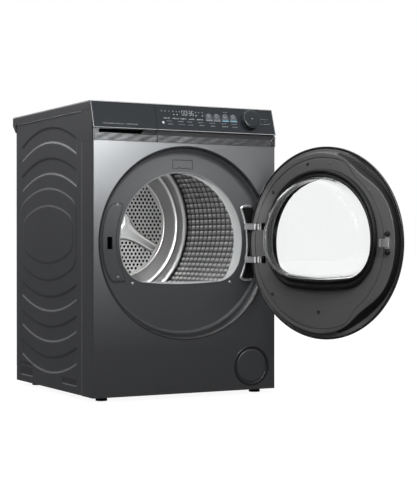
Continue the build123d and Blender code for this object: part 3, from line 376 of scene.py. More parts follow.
finishes = {
    "silverPaint": material("silverPaint", (0.36, 0.37, 0.38), 0.33, 0.92, 0.05, 2600, 0.03, coat=0.1),
    "graphitePaint": material("graphitePaint", (0.074, 0.076, 0.081), 0.36, 0.3, 0.07, 1800, 0.04),
    "zinc": material("zinc", (0.42, 0.43, 0.44), 0.38, 0.9, 0.18, 90, 0.06),
    "darkPlastic": material("darkPlastic", (0.018, 0.018, 0.02), 0.5, 0, 0.1, 900, 0.1),
    "basePlastic": material("basePlastic", (0.03, 0.03, 0.033), 0.6, 0, 0.12, 700, 0.15),
    "panelGloss": material("panelGloss", (0.016, 0.020, 0.025), 0.2, 0.1, 0.05, 500, 0.0, coat=0.3),
    "greyPlastic": material("greyPlastic", (0.30, 0.31, 0.32), 0.5, 0, 0.07, 900, 0.1),
    "lightPlastic": material("lightPlastic", (0.36, 0.37, 0.37), 0.38, 0, 0.04, 900, 0.04),
    "recessPlastic": material("recessPlastic", (0.052, 0.055, 0.059), 0.46, 0.1, 0.06, 1200, 0.05),
    "recessEdge": material("recessEdge", (0.012, 0.012, 0.014), 0.35, 0, 0.06, 900, 0.05),
    "blackMetal": material("blackMetal", (0.012, 0.012, 0.013), 0.3, 0.3, 0.1, 900, 0.06),
    "chrome": material("chrome", (0.80, 0.80, 0.81), 0.16, 0.8, 0.03, 500, 0.01, roughSpread=0.05),
    "satinChrome": material("satinChrome", (0.15, 0.153, 0.157), 0.34, 0.85, 0.3, 90, 0.03, (1, 1, 3)),
    # edgeGrey: a light grey for painted highlights along edges.
    "edgeGrey": material("edgeGrey", (0.48, 0.485, 0.49), 0.35, 0.4, 0.05, 900, 0.02),
    "screwSteel": material("screwSteel", (0.35, 0.35, 0.36), 0.3, 0.9, 0.1, 900, 0.05),
    "bearingSteel": material("bearingSteel", (0.5, 0.5, 0.51), 0.25, 1.0, 0.05, 300, 0.03, (20, 1, 1)),
    "rubber": material("rubber", (0.010, 0.010, 0.011), 0.55, 0, 0.15, 1200, 0.12, spec=0.35),
    "castMetal": material("castMetal", (0.11, 0.11, 0.12), 0.6, 0.6, 0.2, 500, 0.3),
    "fins": material("fins", (0.65, 0.67, 0.69), 0.3, 1.0, 0.08, 400, 0.05, (1, 1, 12)),
    "doorGloss": material("doorGloss", (0.020, 0.020, 0.022), 0.2, 0, 0.06, 700, 0.0, coat=0.5),
    "linerPlastic": material("linerPlastic", (0.11, 0.11, 0.112), 0.46, 0, 0.06, 1100, 0.1),
    "stainless": material("stainless", (0.50, 0.50, 0.50), 0.34, 0.9, 0.03, 300, 0.0, (1, 8, 1)),
    "filterPlastic": material("filterPlastic", (0.42, 0.43, 0.44), 0.45, 0, 0.06, 900, 0.08),
    "electronics": material("electronics", (0.02, 0.09, 0.05), 0.4, 0, 0.2, 200, 0.2),
    # holeBlack: black for painted shade seen through holes.
    "holeBlack": material("holeBlack", (0.002, 0.002, 0.002), 0.9, 0, 0.05, 300, 0.0, spec=0.0),
    "markWhite": material("markWhite", (0.50, 0.52, 0.54), 0.5, 0, 0.03, 300, 0,
                          glow=(0.8, 0.84, 0.88, 0.16)),
    "markDim": material("markDim", (0.35, 0.37, 0.39), 0.5, 0, 0.03, 300, 0, glow=(0.7, 0.75, 0.8, 0.12)),
    "markBlue": material("markBlue", (0.12, 0.42, 0.6), 0.5, 0, 0.03, 300, 0, glow=(0.1, 0.5, 0.8, 0.12)),
    "clearGlass": glass("clearGlass", (0.94, 0.944, 0.944), 0.0, 1.16),
    "outerGlass": glass("outerGlass", (0.955, 0.96, 0.96), 0.0, 1.05),
    "worktopBoard": material("worktopBoard", (0.05, 0.052, 0.056), 0.4, 0.2, 0.1, 1500, 0.06),
}
nodeFinish = {
    "silverPaint": ["front_panel"],
    "graphitePaint": ["side_panel_left", "side_panel_right", "fascia_frame"],
    "zinc": ["rear_panel", "rear_duct_cover", "front_bulkhead", "rear_bulkhead"],
    "worktopBoard": ["top_panel"],
    "panelGloss": ["fascia_glass", "tank_front", "power_button"],
    "darkPlastic": ["filter_housing", "condensate_pump", "fan_wheel", "idler_pulley", "front_roller_left",
                    "front_roller_right", "mains_inlet"],
    "basePlastic": ["base_tray", "control_trim"],
    "electronics": ["display_board"],
    "greyPlastic": ["tank_guide", "tank_body", "control_board_box", "drum_lifters"],
    "satinChrome": ["knob"],
    "recessPlastic": ["door_surround", "latch_cover"],
    "blackMetal": ["hinge_plate", "compressor", "door_hinge_bracket", "idler_arm"],
    "chrome": ["hinge_arms", "door_latch_hook"],
    "screwSteel": ["surround_screws", "door_screws"],
    "lightPlastic": ["front_collar"],
    "bearingSteel": ["rear_bearing", "drum_shaft", "motor_shaft"],
    "rubber": ["drive_belt", "door_gasket", "door_buffers", "foot_front_left", "foot_front_right",
               "foot_rear_left", "foot_rear_right"],
    "castMetal": ["motor_housing"],
    "fins": ["evaporator", "condenser"],
    "doorGloss": ["door_outer_ring"],
    "outerGlass": ["door_outer_glass"],
    "linerPlastic": ["door_liner"],
    "clearGlass": ["door_window"],
    "stainless": ["drum_shell", "drum_rear_wall", "drum_spider"],
    "filterPlastic": ["lint_filter"],
    "graphiteFlap": ["service_flap"],
}
# Painted light on the graphite paint: slopes that face up are painted lighter, a painted highlight on the
# pressed edges, and slopes that face down are painted darker, a painted shade.
shade(finishes["graphitePaint"], ("Normal", "Z"), 0.1, 0.55, (0.52, 0.52, 0.53))
shade(finishes["graphitePaint"], ("Normal", "Z"), -0.1, -0.6, (0.008, 0.008, 0.009))
# Painted highlight on the worktop: its edges near the top are painted lighter, while the top face keeps the
# board's own colour.
shade(finishes["worktopBoard"], ("Object", "Z"), 0.8458, 0.848, (0.5, 0.5, 0.51))
shade(finishes["worktopBoard"], ("Normal", "Z"), 0.8, 0.97, (0.05, 0.052, 0.056))
# Painted highlight: the dark glass is painted lighter at its top edge, along the top of the control panel.
shade(finishes["panelGloss"], ("Object", "Z"), 0.8472, 0.8484, (0.3, 0.305, 0.31))
# Painted light on the door recess: faces that point up are painted darker as painted shade, and the recess is
# painted lighter with height, a painted gradient of light from above.
shade(finishes["recessPlastic"], ("Normal", "Z"), 0.25, 0.8, (0.02, 0.021, 0.022))
shade(finishes["recessPlastic"], ("Object", "Z"), 0.42, 0.74, (0.19, 0.194, 0.2))
# The drum's cushions carry painted light: slopes that face up are painted near white, painted highlights on
# the cushions, and the valleys between them are painted dark, painted shade.
finishes["cushionSteel"] = material("cushionSteel", (0.30, 0.30, 0.30), 0.3, 0.9, 0.03, 300, 0.0)
shade(finishes["cushionSteel"], ("Normal", "Z"), 0.1, 0.62, (0.95, 0.95, 0.95))
shade(finishes["cushionSteel"], ("Radius", drumZ * mm), 0.2732, 0.2756, (0.06, 0.06, 0.06))
# Painted light on the spider's arms: the parts that stand further out from the back plate are painted near
# white, a painted highlight, and the rest stays dark.
finishes["armSteel"] = material("armSteel", (0.16, 0.16, 0.16), 0.34, 0.9, 0.03, 300, 0.0)
shade(finishes["armSteel"], ("Object", "Y"), frontY + 0.4862, frontY + 0.4842, (0.9, 0.9, 0.9))
finishes["graphiteFlap"] = material("graphiteFlap", (0.06, 0.062, 0.066), 0.4, 0.4, 0.06, 1500, 0.04)
for finishName, nodeNames in nodeFinish.items():
    for nodeName in nodeNames:
        made = frame["nodes"][nodeName].data
        made.materials.clear()
        made.materials.append(finishes[finishName])
# Painted light on the front panel: it is painted darker towards the floor, a painted shade, and carries a
# light line at its left corner, a painted highlight of that edge.
shade(finishes["silverPaint"], ("Object", "Z"), 0.62, 0.14, (0.15, 0.153, 0.157))
shade(finishes["silverPaint"], ("Object", "X"), -0.2957, -0.2967, (0.75, 0.76, 0.77))
# The wrap's paint adds a light line 77 to 78 mm behind the front face, a painted highlight of the wrap's rear
# edge.
finishes["wrapPaint"] = shade(finishes["graphitePaint"].copy(), ("Object", "Y"), frontY + 0.0772,
                              frontY + 0.0782,
                              (0.3, 0.303, 0.308))
wrap = frame["nodes"]["front_panel"].data           # the panel's sides take the darker paint
wrap.materials.append(finishes["wrapPaint"])
facing = np.array([f.normal[0] for f in wrap.polygons])
wrap.polygons.foreach_set("material_index", (abs(facing) > 0.6).astype(np.int32))
print("materials:", len(finishes))

# Side panels: a pressed sheet with arched bands, a raised boss and a plateau on it.

sidePress = {
    "faceX": 295.0, "sheet": 1.0, "depth": (80.5, 612.0), "height": (12.0, 823.8), "step": 3.2,
    "middle": 343.0, "halfWidth": 221.0, "sag": 47.0, "bandDrop": 1.7, "edge": 3.8,
    "upperBands": ((796.0, 749.0), (704.0, 655.0)),
    "lowerBands": ((242.0, 288.0), (150.0, 198.0), (57.0, 106.0)),
    "boss": (351.5, 227.5, 334.0, 614.0, 50.0, 1.3),
    "plateau": (347.5, 202.5, 385.6, 562.0, 42.0, 1.15),
    "pockets": ((472.0, 578.0, 33.0, 74.0), (121.0, 233.0, 35.0, 52.0)),
}


def pressedSheet(d, z):
    # Height outwards: bands between two parabolas sink, boss and plateau rise, all with S-shaped edges.
    s = sidePress
    t = (d - s["middle"]) / s["halfWidth"]
    inside = smooth(0, s["edge"], s["halfWidth"] - abs(d - s["middle"]))
    sunk = np.zeros_like(d)
    for outer, inner in s["upperBands"]:
        bow = s["sag"] * t * t
        band = smooth(0, s["edge"], outer - bow - z) * smooth(0, s["edge"], z - inner + bow)
        sunk = np.maximum(sunk, inside * band)
    for outer, inner in s["lowerBands"]:
        bow = 0.9 * s["sag"] * t * t
        band = smooth(0, s["edge"], z - outer - bow) * smooth(0, s["edge"], inner + bow - z)
        sunk = np.maximum(sunk, inside * band)
    for d0, d1, z0, z1 in s["pockets"]:
        wall = np.minimum(np.minimum(d - d0, d1 - d), np.minimum(z - z0, z1 - z))
        sunk = np.maximum(sunk, smooth(0, s["edge"], wall))
    rise = np.zeros_like(d)
    for middle, halfWidth, low, high, sag, lift in (s["boss"], s["plateau"]):
        bow = sag * ((d - middle) / halfWidth) ** 2
        reach = np.stack((halfWidth - abs(d - middle), high - bow - z, z - low - bow))
        blunt = -12.0 * np.log(np.exp(-reach / 12.0).sum(0))      # rounds the corners between the edges
        rise = rise + lift * smooth(0, s["edge"] * 0.9, blunt)
    return rise - s["bandDrop"] * sunk


def buildSides():
    s = sidePress
    d = np.linspace(*s["depth"], int((s["depth"][1] - s["depth"][0]) / s["step"]))
    z = np.linspace(*s["height"], int((s["height"][1] - s["height"][0]) / s["step"]))
    grid = np.meshgrid(d, z, indexing="ij")
    lift = pressedSheet(*grid)
    for side, end in ((-1, "left"), (1, "right")):
        outer = np.stack((side * (s["faceX"] + lift), grid[0], grid[1]), -1).reshape(-1, 3)
        back = outer - (side * s["sheet"], 0, 0)
        faces = sheetFaces(len(d), len(z))
        piece("side_panel_" + end + "_pressed", np.vstack((outer, back)), faces, "cabinet",
              "graphitePaint", "graphite_steel", ["side_panel_" + end])


def buildWorktopEdgeHighlights():
    # A light bead along the lower edge of the worktop is a painted highlight, where that edge catches the
    # light.
    for side, end in ((-1, "left"), (1, "right")):
        x = side * 296.9
        joint = bead([(x, 84.0, 823.9), (x, 600.0, 823.9)], roundSection(0.55), (1, 0, 0))
        piece("worktop_edge_highlight_" + end, *joint, "cabinet", "edgeGrey", "graphite_steel")


buildSides()
buildWorktopEdgeHighlights()
print("side panels pressed")

# Door recess: dish, dark edge ring, moulded mark, latch cover, hinge trim and screws.

opening = (200.5, 206.0, -119.0, 78.0)      # half width, top, bottom, corner
recess = {
    "floor": 32.0, "flatR": 257.0, "back": 35.0,
    "rim": ((260.5, 31.4), (264.5, 28.4), (267.5, 23.0), (269.5, 15.0), (271.0, 8.0), (272.5, 4.6)),
    "edgeRing": ((272.0, 6.5), (273.0, 2.2), (276.5, 0.0), (280.0, -0.7), (281.6, -0.3), (281.2, 1.5),
                 (277.0, 5.5),
                 (273.5, 8.0)),
    "latch": (-232.0, 16.0, 35.0),
    "screws": ((-207.0, 556.0), (-206.0, 350.0), (-160.0, 331.0), (160.0, 331.0), (215.0, 553.0),
               (215.0, 345.0)),
}


def buildDish():
    # Straight lines from the D-shaped opening out to a circle, then the wall's profile turned round it.
    inner, outer = roundedD(opening, 0.6), circleOutline(recess["flatR"])
    share = np.linspace(0, 1, 26)
    rings = [ringOf(inner * (1 - t) + outer * t, recess["floor"]) for t in share]
    rings += [ringOf(circleOutline(r), d) for r, d in soften(recess["rim"], 2, False)]
    rings += [ringOf(circleOutline(r), d) for r, d in ((273.5, 8.0), (266.0, 33.0), (257.0, recess["back"]))]
    rings += [ringOf(inner, recess["back"])]
    dish = piece("door_recess_dish", *stacked(rings), "cabinet",
                 "recessPlastic", "recess_plastic", ["door_surround"])
    piece("recess_edge_ring", *turned(soften(recess["edgeRing"], 2), z=doorZ, steps=240), "cabinet",
          "recessEdge", "recess_plastic")
    x, wide, high = recess["latch"]
    cutBox(dish, (x - wide / 2, x + wide / 2), (20, 45), (doorZ - high / 2, doorZ + high / 2))


def markOutline():
    # A rounded rectangle with a shallow notch in its lower edge.
    x0, x1, z0, z1 = -31.0, 34.0, 665.0, 690.0
    return [(x0, z0), (x0, z1), (x1, z1), (x1, z0), (18.0, z0), (15.0, z0 + 3.0), (8.0, z0 + 1.0),
            (-4.0, z0 + 1.0), (-10.0, z0 + 4.0), (-14.0, z0)]


def buildRecessDetail():
    path = np.asarray(markOutline(), float)
    path = np.column_stack((path[:, 0], np.full(len(path), recess["floor"] - 0.1), path[:, 1]))
    piece("moulded_mark", *bead(path, roundSection(1.0, 0.7), closed=True), "cabinet", "recessEdge",
          "recess_plastic")
    # Latch cover: between the dish's circle and a circle that runs beside the opening.
    z = np.linspace(-112, 112, 60)[:, None]
    blunt = 9.0 * (abs(z) / 112) ** 10
    left = -np.sqrt(256.0 ** 2 - z ** 2) + blunt
    right = -np.sqrt(211.0 ** 2 - (z - 5.5) ** 2) - blunt
    v = np.linspace(0, 1, 24)[None, :]
    x = left + (right - left) * v
    edge = np.minimum(np.minimum(x - left, right - x), 112 - abs(z) + 0.01)
    lift = 1.7 * smooth(-0.1, 3.0, edge)
    top = np.stack((x, recess["floor"] - 0.05 - lift, doorZ + z + 0 * x), -1)
    bottom = np.stack((x, recess["floor"] + 0.02 + 0 * x, doorZ + z + 0 * x), -1)
    loop = np.vstack((top.reshape(-1, 3), bottom.reshape(-1, 3)))
    cover = piece("latch_cover_strip", loop, sheetFaces(*x.shape), "cabinet", "recessPlastic",
                  "recess_plastic",
                  ["latch_cover"])
    hx, wide, high = recess["latch"]
    cutBox(cover, (hx - wide / 2, hx + wide / 2), (20, 45), (doorZ - high / 2, doorZ + high / 2))
    # The black plate is painted shade behind the latch hole, so the hole reads dark. It lies behind the
    # hook's tip, which reaches 43 mm deep with the door shut.
    reach, rise = wide / 2 + 12, high / 2 + 8
    hole = brick((hx - reach, hx + reach), (44.5, 45.2), (doorZ - rise, doorZ + rise))
    piece("latch_hole_shade", *hole, "cabinet", "holeBlack", "dark_plastic")
    rim = np.vstack((np.stack((x[:, 0], z[:, 0]), -1), np.stack((x[::-1, -1], z[::-1, 0]), -1)))
    rim = np.column_stack((rim[:, 0], np.full(len(rim), recess["floor"] - 0.2), doorZ + rim[:, 1]))
    piece("latch_cover_seam", *bead(rim, roundSection(1.0, 0.6), closed=True), "cabinet", "recessEdge",
          "recess_plastic")
    # Hinge trim: a chrome bead along the bowed edge of the hinge plate.
    z = np.linspace(-104, 104, 80)
    bow = np.column_stack((-32 + np.sqrt(250.0 ** 2 - z ** 2), np.full(80, recess["floor"] - 3.4), doorZ + z))
    ends = [(232.0, 28.6, doorZ - 110.0), (212.0, 28.6, doorZ - 111.0), (203.0, 28.6, doorZ - 109.0)]
    path = np.vstack((ends, bow, [(x, d, 2 * doorZ - z) for x, d, z in ends[::-1]]))
    piece("hinge_trim", *bead(path, roundSection(4.4, 0.6)), "cabinet", "chrome", "chrome")


def screwHead(x, z, d, radius=5.2, cross=True):
    # A dome whose height falls with the square of the radius, less a cross-shaped recess.
    r = np.linspace(0, radius, 9)[:, None]
    angle = fullTurn(32)[None, :]
    px, pz = r * np.cos(angle), r * np.sin(angle)
    lift = 2.4 * (1 - 0.55 * (r / radius) ** 2) + 0 * angle
    slot = np.minimum(abs(px), abs(pz)) < 0.75
    lift = lift - 1.3 * (slot & (r < 0.62 * radius)) * cross
    top = np.stack((x + px, d - lift, z + pz), -1).reshape(-1, 3)
    skirt = np.column_stack((x + radius * np.cos(angle[0]), np.full(32, d), z + radius * np.sin(angle[0])))
    faces = gridFaces(10, 32, False, True) + [list(range(9 * 32, 10 * 32))]
    return np.vstack((top, skirt)), faces


buildDish()
buildRecessDetail()
recessHeads = [screwHead(x, z, recess["floor"] - 0.1) for x, z in recess["screws"]]
piece("recess_screw_heads", *joined(*recessHeads), "cabinet", "screwSteel", "screw_steel",
      ["surround_screws"])
print("door recess built")

# Collar lip: a light bead round the drum opening.

lipSection = soften([(-1.6, 33.4), (-1.4, 31.0), (0.0, 30.4), (1.0, 30.8), (1.4, 33.4)], 2)
lipRings = [ringOf(roundedD(opening, grow), d) for grow, d in lipSection]
piece("collar_lip", *stacked(lipRings), "cabinet",
      "lightPlastic", "light_plastic")

# Drum: a shell pressed into rounded cushions, a perforated back, three arms.

drum = {
    "shellR": 275.6, "rows": 96, "pitch": 29.0, "columns": 14, "start": 116.0, "cell": 8, "lift": 3.4,
    "front": ((240.6, 64.0), (240.6, 90.0), (252.0, 97.0), (266.0, 105.0), (274.0, 110.5), (275.6, 114.0)),
    "back": ((275.6, 524.0), (275.4, 526.5), (275.0, 529.0)),
    "holeR": 4.3, "holePitch": 13.6, "plateR": 167.0, "plateD": 490.0, "clearR": 160.5,
}


def buildShell():
    # The radius shrinks on each cushion: a product of two flat-topped bumps, round the drum and along it.
    around = drum["rows"] * drum["cell"]
    angle = fullTurn(around)[:, None]
    length = drum["columns"] * drum["pitch"]
    along = drum["start"] + np.linspace(0, length, drum["columns"] * drum["cell"] + 1)[None, :]
    s = abs((np.arange(around)[:, None] / drum["cell"]) % 1 - 0.5)
    t = abs(((along - drum["start"]) / drum["pitch"]) % 1 - 0.5)
    bumpShape = (1 - smooth(0.14, 0.45, s)) * (1 - smooth(0.24, 0.46, t))
    radius = drum["shellR"] - drum["lift"] * bumpShape
    middle = np.stack((radius * np.cos(angle), along + 0 * angle, drumZ + radius * np.sin(angle)), -1)

    def ends(profile):
        p = np.asarray(profile, float)
        return np.stack((p[:, 0] * np.cos(angle), p[:, 1] + 0 * angle, drumZ + p[:, 0] * np.sin(angle)), -1)

    outside = [(276.8, 529.0), (276.8, 111.0), (242.0, 91.0), (242.0, 64.0)]
    points = np.concatenate((ends(drum["front"]), middle, ends(drum["back"]), ends(outside)), 1)
    rows, columns = points.shape[:2]
    piece("drum_shell_pressed", points.reshape(-1, 3), gridFaces(rows, columns, True, True), "drum",
          "cushionSteel", "drum_steel", ["drum_shell"], sharp=70)


def plateHoles():
    # Centres of a hexagonal pattern inside the plate, clear of the hub.
    pitch = drum["holePitch"]
    i, j = np.meshgrid(np.arange(-16, 17), np.arange(-16, 17))
    x = (i + 0.5 * (j % 2)) * pitch
    z = j * pitch * sqrt(0.75)
    far = np.hypot(x, z)
    keep = (far < drum["clearR"]) & (far > 46)
    return np.column_stack((x[keep], z[keep]))


def buildBack():
    # Each hole is a rounded lip turned in; flat triangles join the lips and the plate's edge.
    from mathutils.geometry import delaunay_2d_cdt
    holes = plateHoles()
    turn = fullTurn(12)
    circle = polar(1, turn)
    lip = (holes[:, None] + (drum["holeR"] + 0.7) * circle[None]).reshape(-1, 2)
    rim = polar(drum["plateR"], fullTurn(180))
    flat = np.vstack((lip, rim))
    loops = np.arange(len(lip)).reshape(-1, 12)
    edges = np.stack((loops, np.roll(loops, -1, 1)), -1).reshape(-1, 2)
    rimIndex = len(lip) + np.arange(180)
    edges = np.vstack((edges, np.column_stack((rimIndex, np.roll(rimIndex, -1)))))
    out = delaunay_2d_cdt([tuple(p) for p in flat], edges.tolist(), [], 0, 1e-6)
    verts, faces = np.array([tuple(v) for v in out[0]]), [list(f) for f in out[2]]
    centre = np.array([verts[f].mean(0) for f in faces])
    gap = np.full(len(centre), 1e9)
    for part in np.array_split(np.arange(len(centre)), 24):
        gap[part] = np.hypot(*(centre[part][:, None] - holes[None]).transpose(2, 0, 1)).min(1)
    faces = [f for f, g in zip(faces, gap) if g > drum["holeR"] + 0.3]
    d = drum["plateD"]
    plate = np.column_stack((verts[:, 0], np.full(len(verts), d), drumZ + verts[:, 1]))
    back = plate + (0, 2.2, 0)                  # rear face and rim wall close the plate
    loop = np.array([k for k in range(len(verts)) if np.hypot(*verts[k]) > drum["plateR"] - 0.01])
    loop = loop[np.argsort(np.arctan2(verts[loop, 1], verts[loop, 0]))]
    after, count = np.roll(loop, -1), len(plate)
    walls = np.stack((loop, after, after + count, loop + count), -1).tolist()
    shapes = [(np.vstack((plate, back)), faces + [[k + count for k in f] for f in faces] + walls)]
    # Lips: rings of falling radius and growing depth, stacked in one array for every hole.
    rings = ((0.7, 0.0), (0.25, 0.25), (0.0, 0.9), (0.0, 2.2))
    stack = np.stack([np.concatenate((holes[:, None] + (drum["holeR"] + g) * circle[None],
                                      np.full((len(holes), 12, 1), d + deep)), -1) for g, deep in rings], 1)
    points = stack.reshape(-1, 3)[:, [0, 2, 1]]
    points[:, 2] += drumZ
    one = np.array(gridFaces(4, 12, False, True))
    lipFaces = (one[None] + (np.arange(len(holes)) * 48)[:, None, None]).reshape(-1, 4).tolist()
    shapes.append((points, lipFaces))
    piece("drum_back_plate", *joined(*shapes), "drum", "stainless", "drum_steel", ["drum_rear_wall"],
          sharp=50)
    # A black disc behind the plate is painted shade, so the holes read dark.
    behind = turned([(10.5, 493.2), (170.0, 493.2), (170.0, 494.0), (10.5, 494.0)], z=drumZ, steps=72)
    piece("drum_back_painted_shade", *behind, "drum", "holeBlack", "dark_plastic")
    front = [(166.5, 490.0), (168.5, 486.6), (172.0, 486.0), (175.5, 489.6), (198.0, 498.0), (216.0, 504.6),
             (220.5, 503.0), (225.0, 500.2), (229.5, 503.4), (233.0, 510.0), (244.0, 515.0), (254.0, 519.0),
             (259.0, 516.8), (264.5, 515.0), (269.0, 518.0), (272.5, 524.0), (275.3, 527.0)]
    rear = [(r, dd + 1.6) for r, dd in front[::-1]]
    piece("drum_back_cone", *turned(soften(front + rear, 2), z=drumZ, steps=240), "drum", "stainless",
          "drum_steel", sharp=60)


spider = {"start": -30.0, "reach": 158.0, "narrow": 18.0, "flare": 28.0, "flareR": 52.0, "height": 9.0}


def buildSpider():
    # Half width along an arm: narrow at the tip, widening towards the hub like a bell curve.
    # Height across it: a flat-topped bump with two ridges.
    arms = []
    u = np.linspace(0, 1, 60)[:, None]
    v = np.linspace(-1, 1, 41)[None, :]
    run = spider["reach"] * u
    half = spider["narrow"] + spider["flare"] * np.exp(-(run / spider["flareR"]) ** 2)
    half = half * np.sqrt(np.clip(1 - smooth(0.88, 1.0, u) ** 2 * 0.97, 0, 1))
    tall = 1 - abs(v) ** 8
    ridge = 1.2 * np.exp(-((abs(v) - 0.58) / 0.16) ** 2)
    lift = spider["height"] * tall * (0.72 + 0.28 * ridge) * (1 - 0.35 * u) * (1 - smooth(0.96, 1.0, u))
    for k in range(3):
        a = radians(spider["start"] + 120 * k)
        x = run * cos(a) - half * v * sin(a)
        z = run * sin(a) + half * v * cos(a)
        top = np.stack((x, drum["plateD"] + 0.3 - lift, drumZ + z), -1)
        base = np.stack((x, drum["plateD"] + 0.6 + 0 * lift, drumZ + z), -1)
        arms.append(capped(top, base))
    hub = turned(soften([(0, 483.2), (14, 483.0), (17, 481.6), (30, 481.6), (36, 483.6), (47, 484.4),
                         (50, 490.4),
                         (0, 490.4)], 2, False), z=drumZ, steps=72, closed=True)
    piece("drum_spider_pressed", *joined(*arms, hub), "drum", "armSteel", "drum_steel", ["drum_spider"])


def buildLifters():
    # Across: a rounded bell. Along: full height, falling at both ends.
    made = []
    u = np.linspace(0, 1, 40)[:, None]
    v = np.linspace(-1, 1, 31)[None, :]
    full = smooth(0, 0.12, u) * (1 - smooth(0.86, 1.0, u))
    lift = 50.0 * full * np.exp(-(v / 0.42) ** 4) * (1 - 0.02 * v * v) + 1.5 * full * (1 - v ** 6)
    wide = 33.0 * v
    for degrees in (60, 180, 300):
        a = radians(degrees)
        seat = np.sqrt(275.0 ** 2 - wide ** 2)
        r = seat - lift
        top = np.stack((r * cos(a) - wide * sin(a) + 0 * u, 152 + 326 * u + 0 * v,
                        drumZ + r * sin(a) + wide * cos(a)), -1)
        r = seat + 0 * u + 0.6
        base = np.stack((r * cos(a) - wide * sin(a) + 0 * u, 152 + 326 * u + 0 * v,
                         drumZ + r * sin(a) + wide * cos(a)), -1)
        made.append(capped(top, base))
    piece("drum_lifter_ribs", *joined(*made), "drum", "greyPlastic", "grey_plastic", ["drum_lifters"])


buildShell()
buildBack()
buildSpider()
buildLifters()
print("drum built")

# Door, drawn closed and swung open by the piece function.

window = (180.0, 186.0, -103.0, 86.0)
gasket = (198.0, 212.0, -135.0, 104.0)
door = {
    "face": 8.0, "faceR": 257.0, "outerR": 269.6, "rimD": -3.0, "scoopDrop": 13.0, "scoopDip": 19.0,
    "scoopAt": (126.0, 234.0), "scoopWide": 17.0, "seamR": 244.0,
    "screws": ((47.0, 226.0), (175.0, 148.0), (178.0, -150.0), (7.0, -198.0)),
    "plugs": ((-36.0, 226.0, 5.0), (-171.0, 145.0, 5.0), (-167.0, -158.0, 5.0), (43.0, -234.0, 4.0),
              (-61.0, -142.0, 2.4), (71.0, -139.0, 2.4)),
    "armZ": 49.0, "slotRise": 10.5,
}


def scoopShare(angle):
    # How far the rim dips at an angle: two bell curves on the free side, joined by a low stretch.
    turn = np.degrees(angle) % 360
    share = sum(np.exp(-((turn - at) / door["scoopWide"]) ** 2) for at in door["scoopAt"])
    between = smooth(108, 126, turn) * (1 - smooth(234, 252, turn))
    return np.clip(share, 0, 1), between


def buildLiner():
    # Depth by radius: flat, then an S-shaped fall to the rim. The fall moves inwards at the scoops.
    angle = fullTurn(outlineSteps)
    dip, between = scoopShare(angle)
    inner = roundedD(window, 1.0)
    fallR = door["faceR"] - door["scoopDip"] * dip - 3.0 * between
    rings = []
    for t in np.linspace(0, 1, 22):
        ring = inner * (1 - t) + polar(1, angle) * (fallR * t)[:, None]
        far = np.hypot(ring[:, 0], ring[:, 1])
        groove = 1.2 * np.exp(-((far - door["seamR"]) / 1.3) ** 2) * (1 - between)
        rings.append(ringOf(ring, door["face"] - groove))
    lowest = door["rimD"] - door["scoopDrop"] * between * 0.75
    for t in np.linspace(0, 1, 12)[1:]:
        r = fallR + (265.5 - fallR) * t
        d = door["face"] + (lowest - door["face"]) * smooth(0, 0.62, t)
        rings.append(ringOf(polar(r, angle), d))
    for r, d in ((268.0, -4.0), (door["outerR"], -3.0), (268.5, -6.0), (262.0, -17.0), (240.0, -19.5)):
        shift = np.where(between > 0.02, 0.0, 0.0 if r > 265 else 10.0) if d < -10 else 0.0
        rings.append(ringOf(polar(r, angle), np.full(outlineSteps, d) + shift))
    rings.append(ringOf(circleOutline(228.0), np.full(outlineSteps, 4.5)))
    rings.append(ringOf(inner, door["face"] - 3.0))
    liner = piece("door_liner_moulded", *stacked(rings), "door",
                  "linerPlastic", "liner_plastic", ["door_liner"], door=True)
    liner.data.materials.append(finishes["rubber"])         # the scooped fall is painted black with the rubber finish, as painted shade
    ring, column = np.divmod(np.arange(len(liner.data.polygons)), outlineSteps)
    dark = (ring > 21) & (ring < 28) & ((dip > 0.15) | (between > 0.15))[column % outlineSteps]
    liner.data.polygons.foreach_set("material_index", dark.astype(np.int32))
    line = (door["seamR"] - 24.0 * between)[:, None] * polar(1, angle)
    piece("door_liner_seam", *bead(ringOf(line, door["face"] + 0.05), roundSection(0.55), closed=True),
          "door",
          "rubber", "liner_plastic", door=True)
    for side in (-1, 1):
        z = doorZ + side * door["armZ"]
        cutBox(liner, (203, 290), (-30, 12), (z - door["slotRise"], z + door["slotRise"]), True)


def buildGasket():
    # Two D outlines, blended across; the height is two rounded lips.
    outer, inner = roundedD(gasket), roundedD(window, 0.6)
    rings = []
    for t, lift in ((0, 0), (0.0, 6.0), (0.06, 10.5), (0.16, 13.2), (0.3, 13.8), (0.42, 12.4), (0.5, 9.0),
                    (0.56, 8.4),
                    (0.64, 10.6), (0.74, 13.4), (0.86, 13.4), (0.95, 11.0), (1.0, 6.0), (1.0, 0.0)):
        rings.append(ringOf(outer * (1 - t) + inner * t, door["face"] + lift))
    piece("door_gasket_lips", *stacked(rings), "door", "rubber",
          "seal_rubber", ["door_gasket"], door=True)


def buildWindow():
    # A glass bowl: D outlines that shrink as they near the drum, then a flat face; the inside is 4 mm in.
    outside = [(0, 6.0), (0.0, 22.0), (1.5, 36.0), (5.0, 50.0), (11.0, 61.0), (20.0, 68.0), (31.0, 71.4),
               (42.0, 72.0)]
    inside = [(46.0, 68.0), (34.0, 67.6), (24.0, 64.6), (15.0, 58.0), (9.0, 48.0), (5.2, 35.0), (4.0, 22.0),
              (4.0, 6.0)]
    middle = np.array([0.0, (window[1] + window[2]) / 2])
    rings = [ringOf(roundedD(window, -inset, 360), d) for inset, d in soften(outside, 2, False)]
    for share, d in ((0.7, 72.0), (0.35, 72.0), (0.0, 72.0), (0.0, 68.0), (0.35, 68.0), (0.7, 68.0)):
        rings.append(ringOf(middle + (roundedD(window, -42.0, 360) - middle) * share, d))
    rings += [ringOf(roundedD(window, -inset, 360), d) for inset, d in soften(inside, 2, False)]
    piece("door_window_bowl", *stacked(rings), "door",
          "clearGlass", "clear_glass", ["door_window"], door=True, sharp=60)


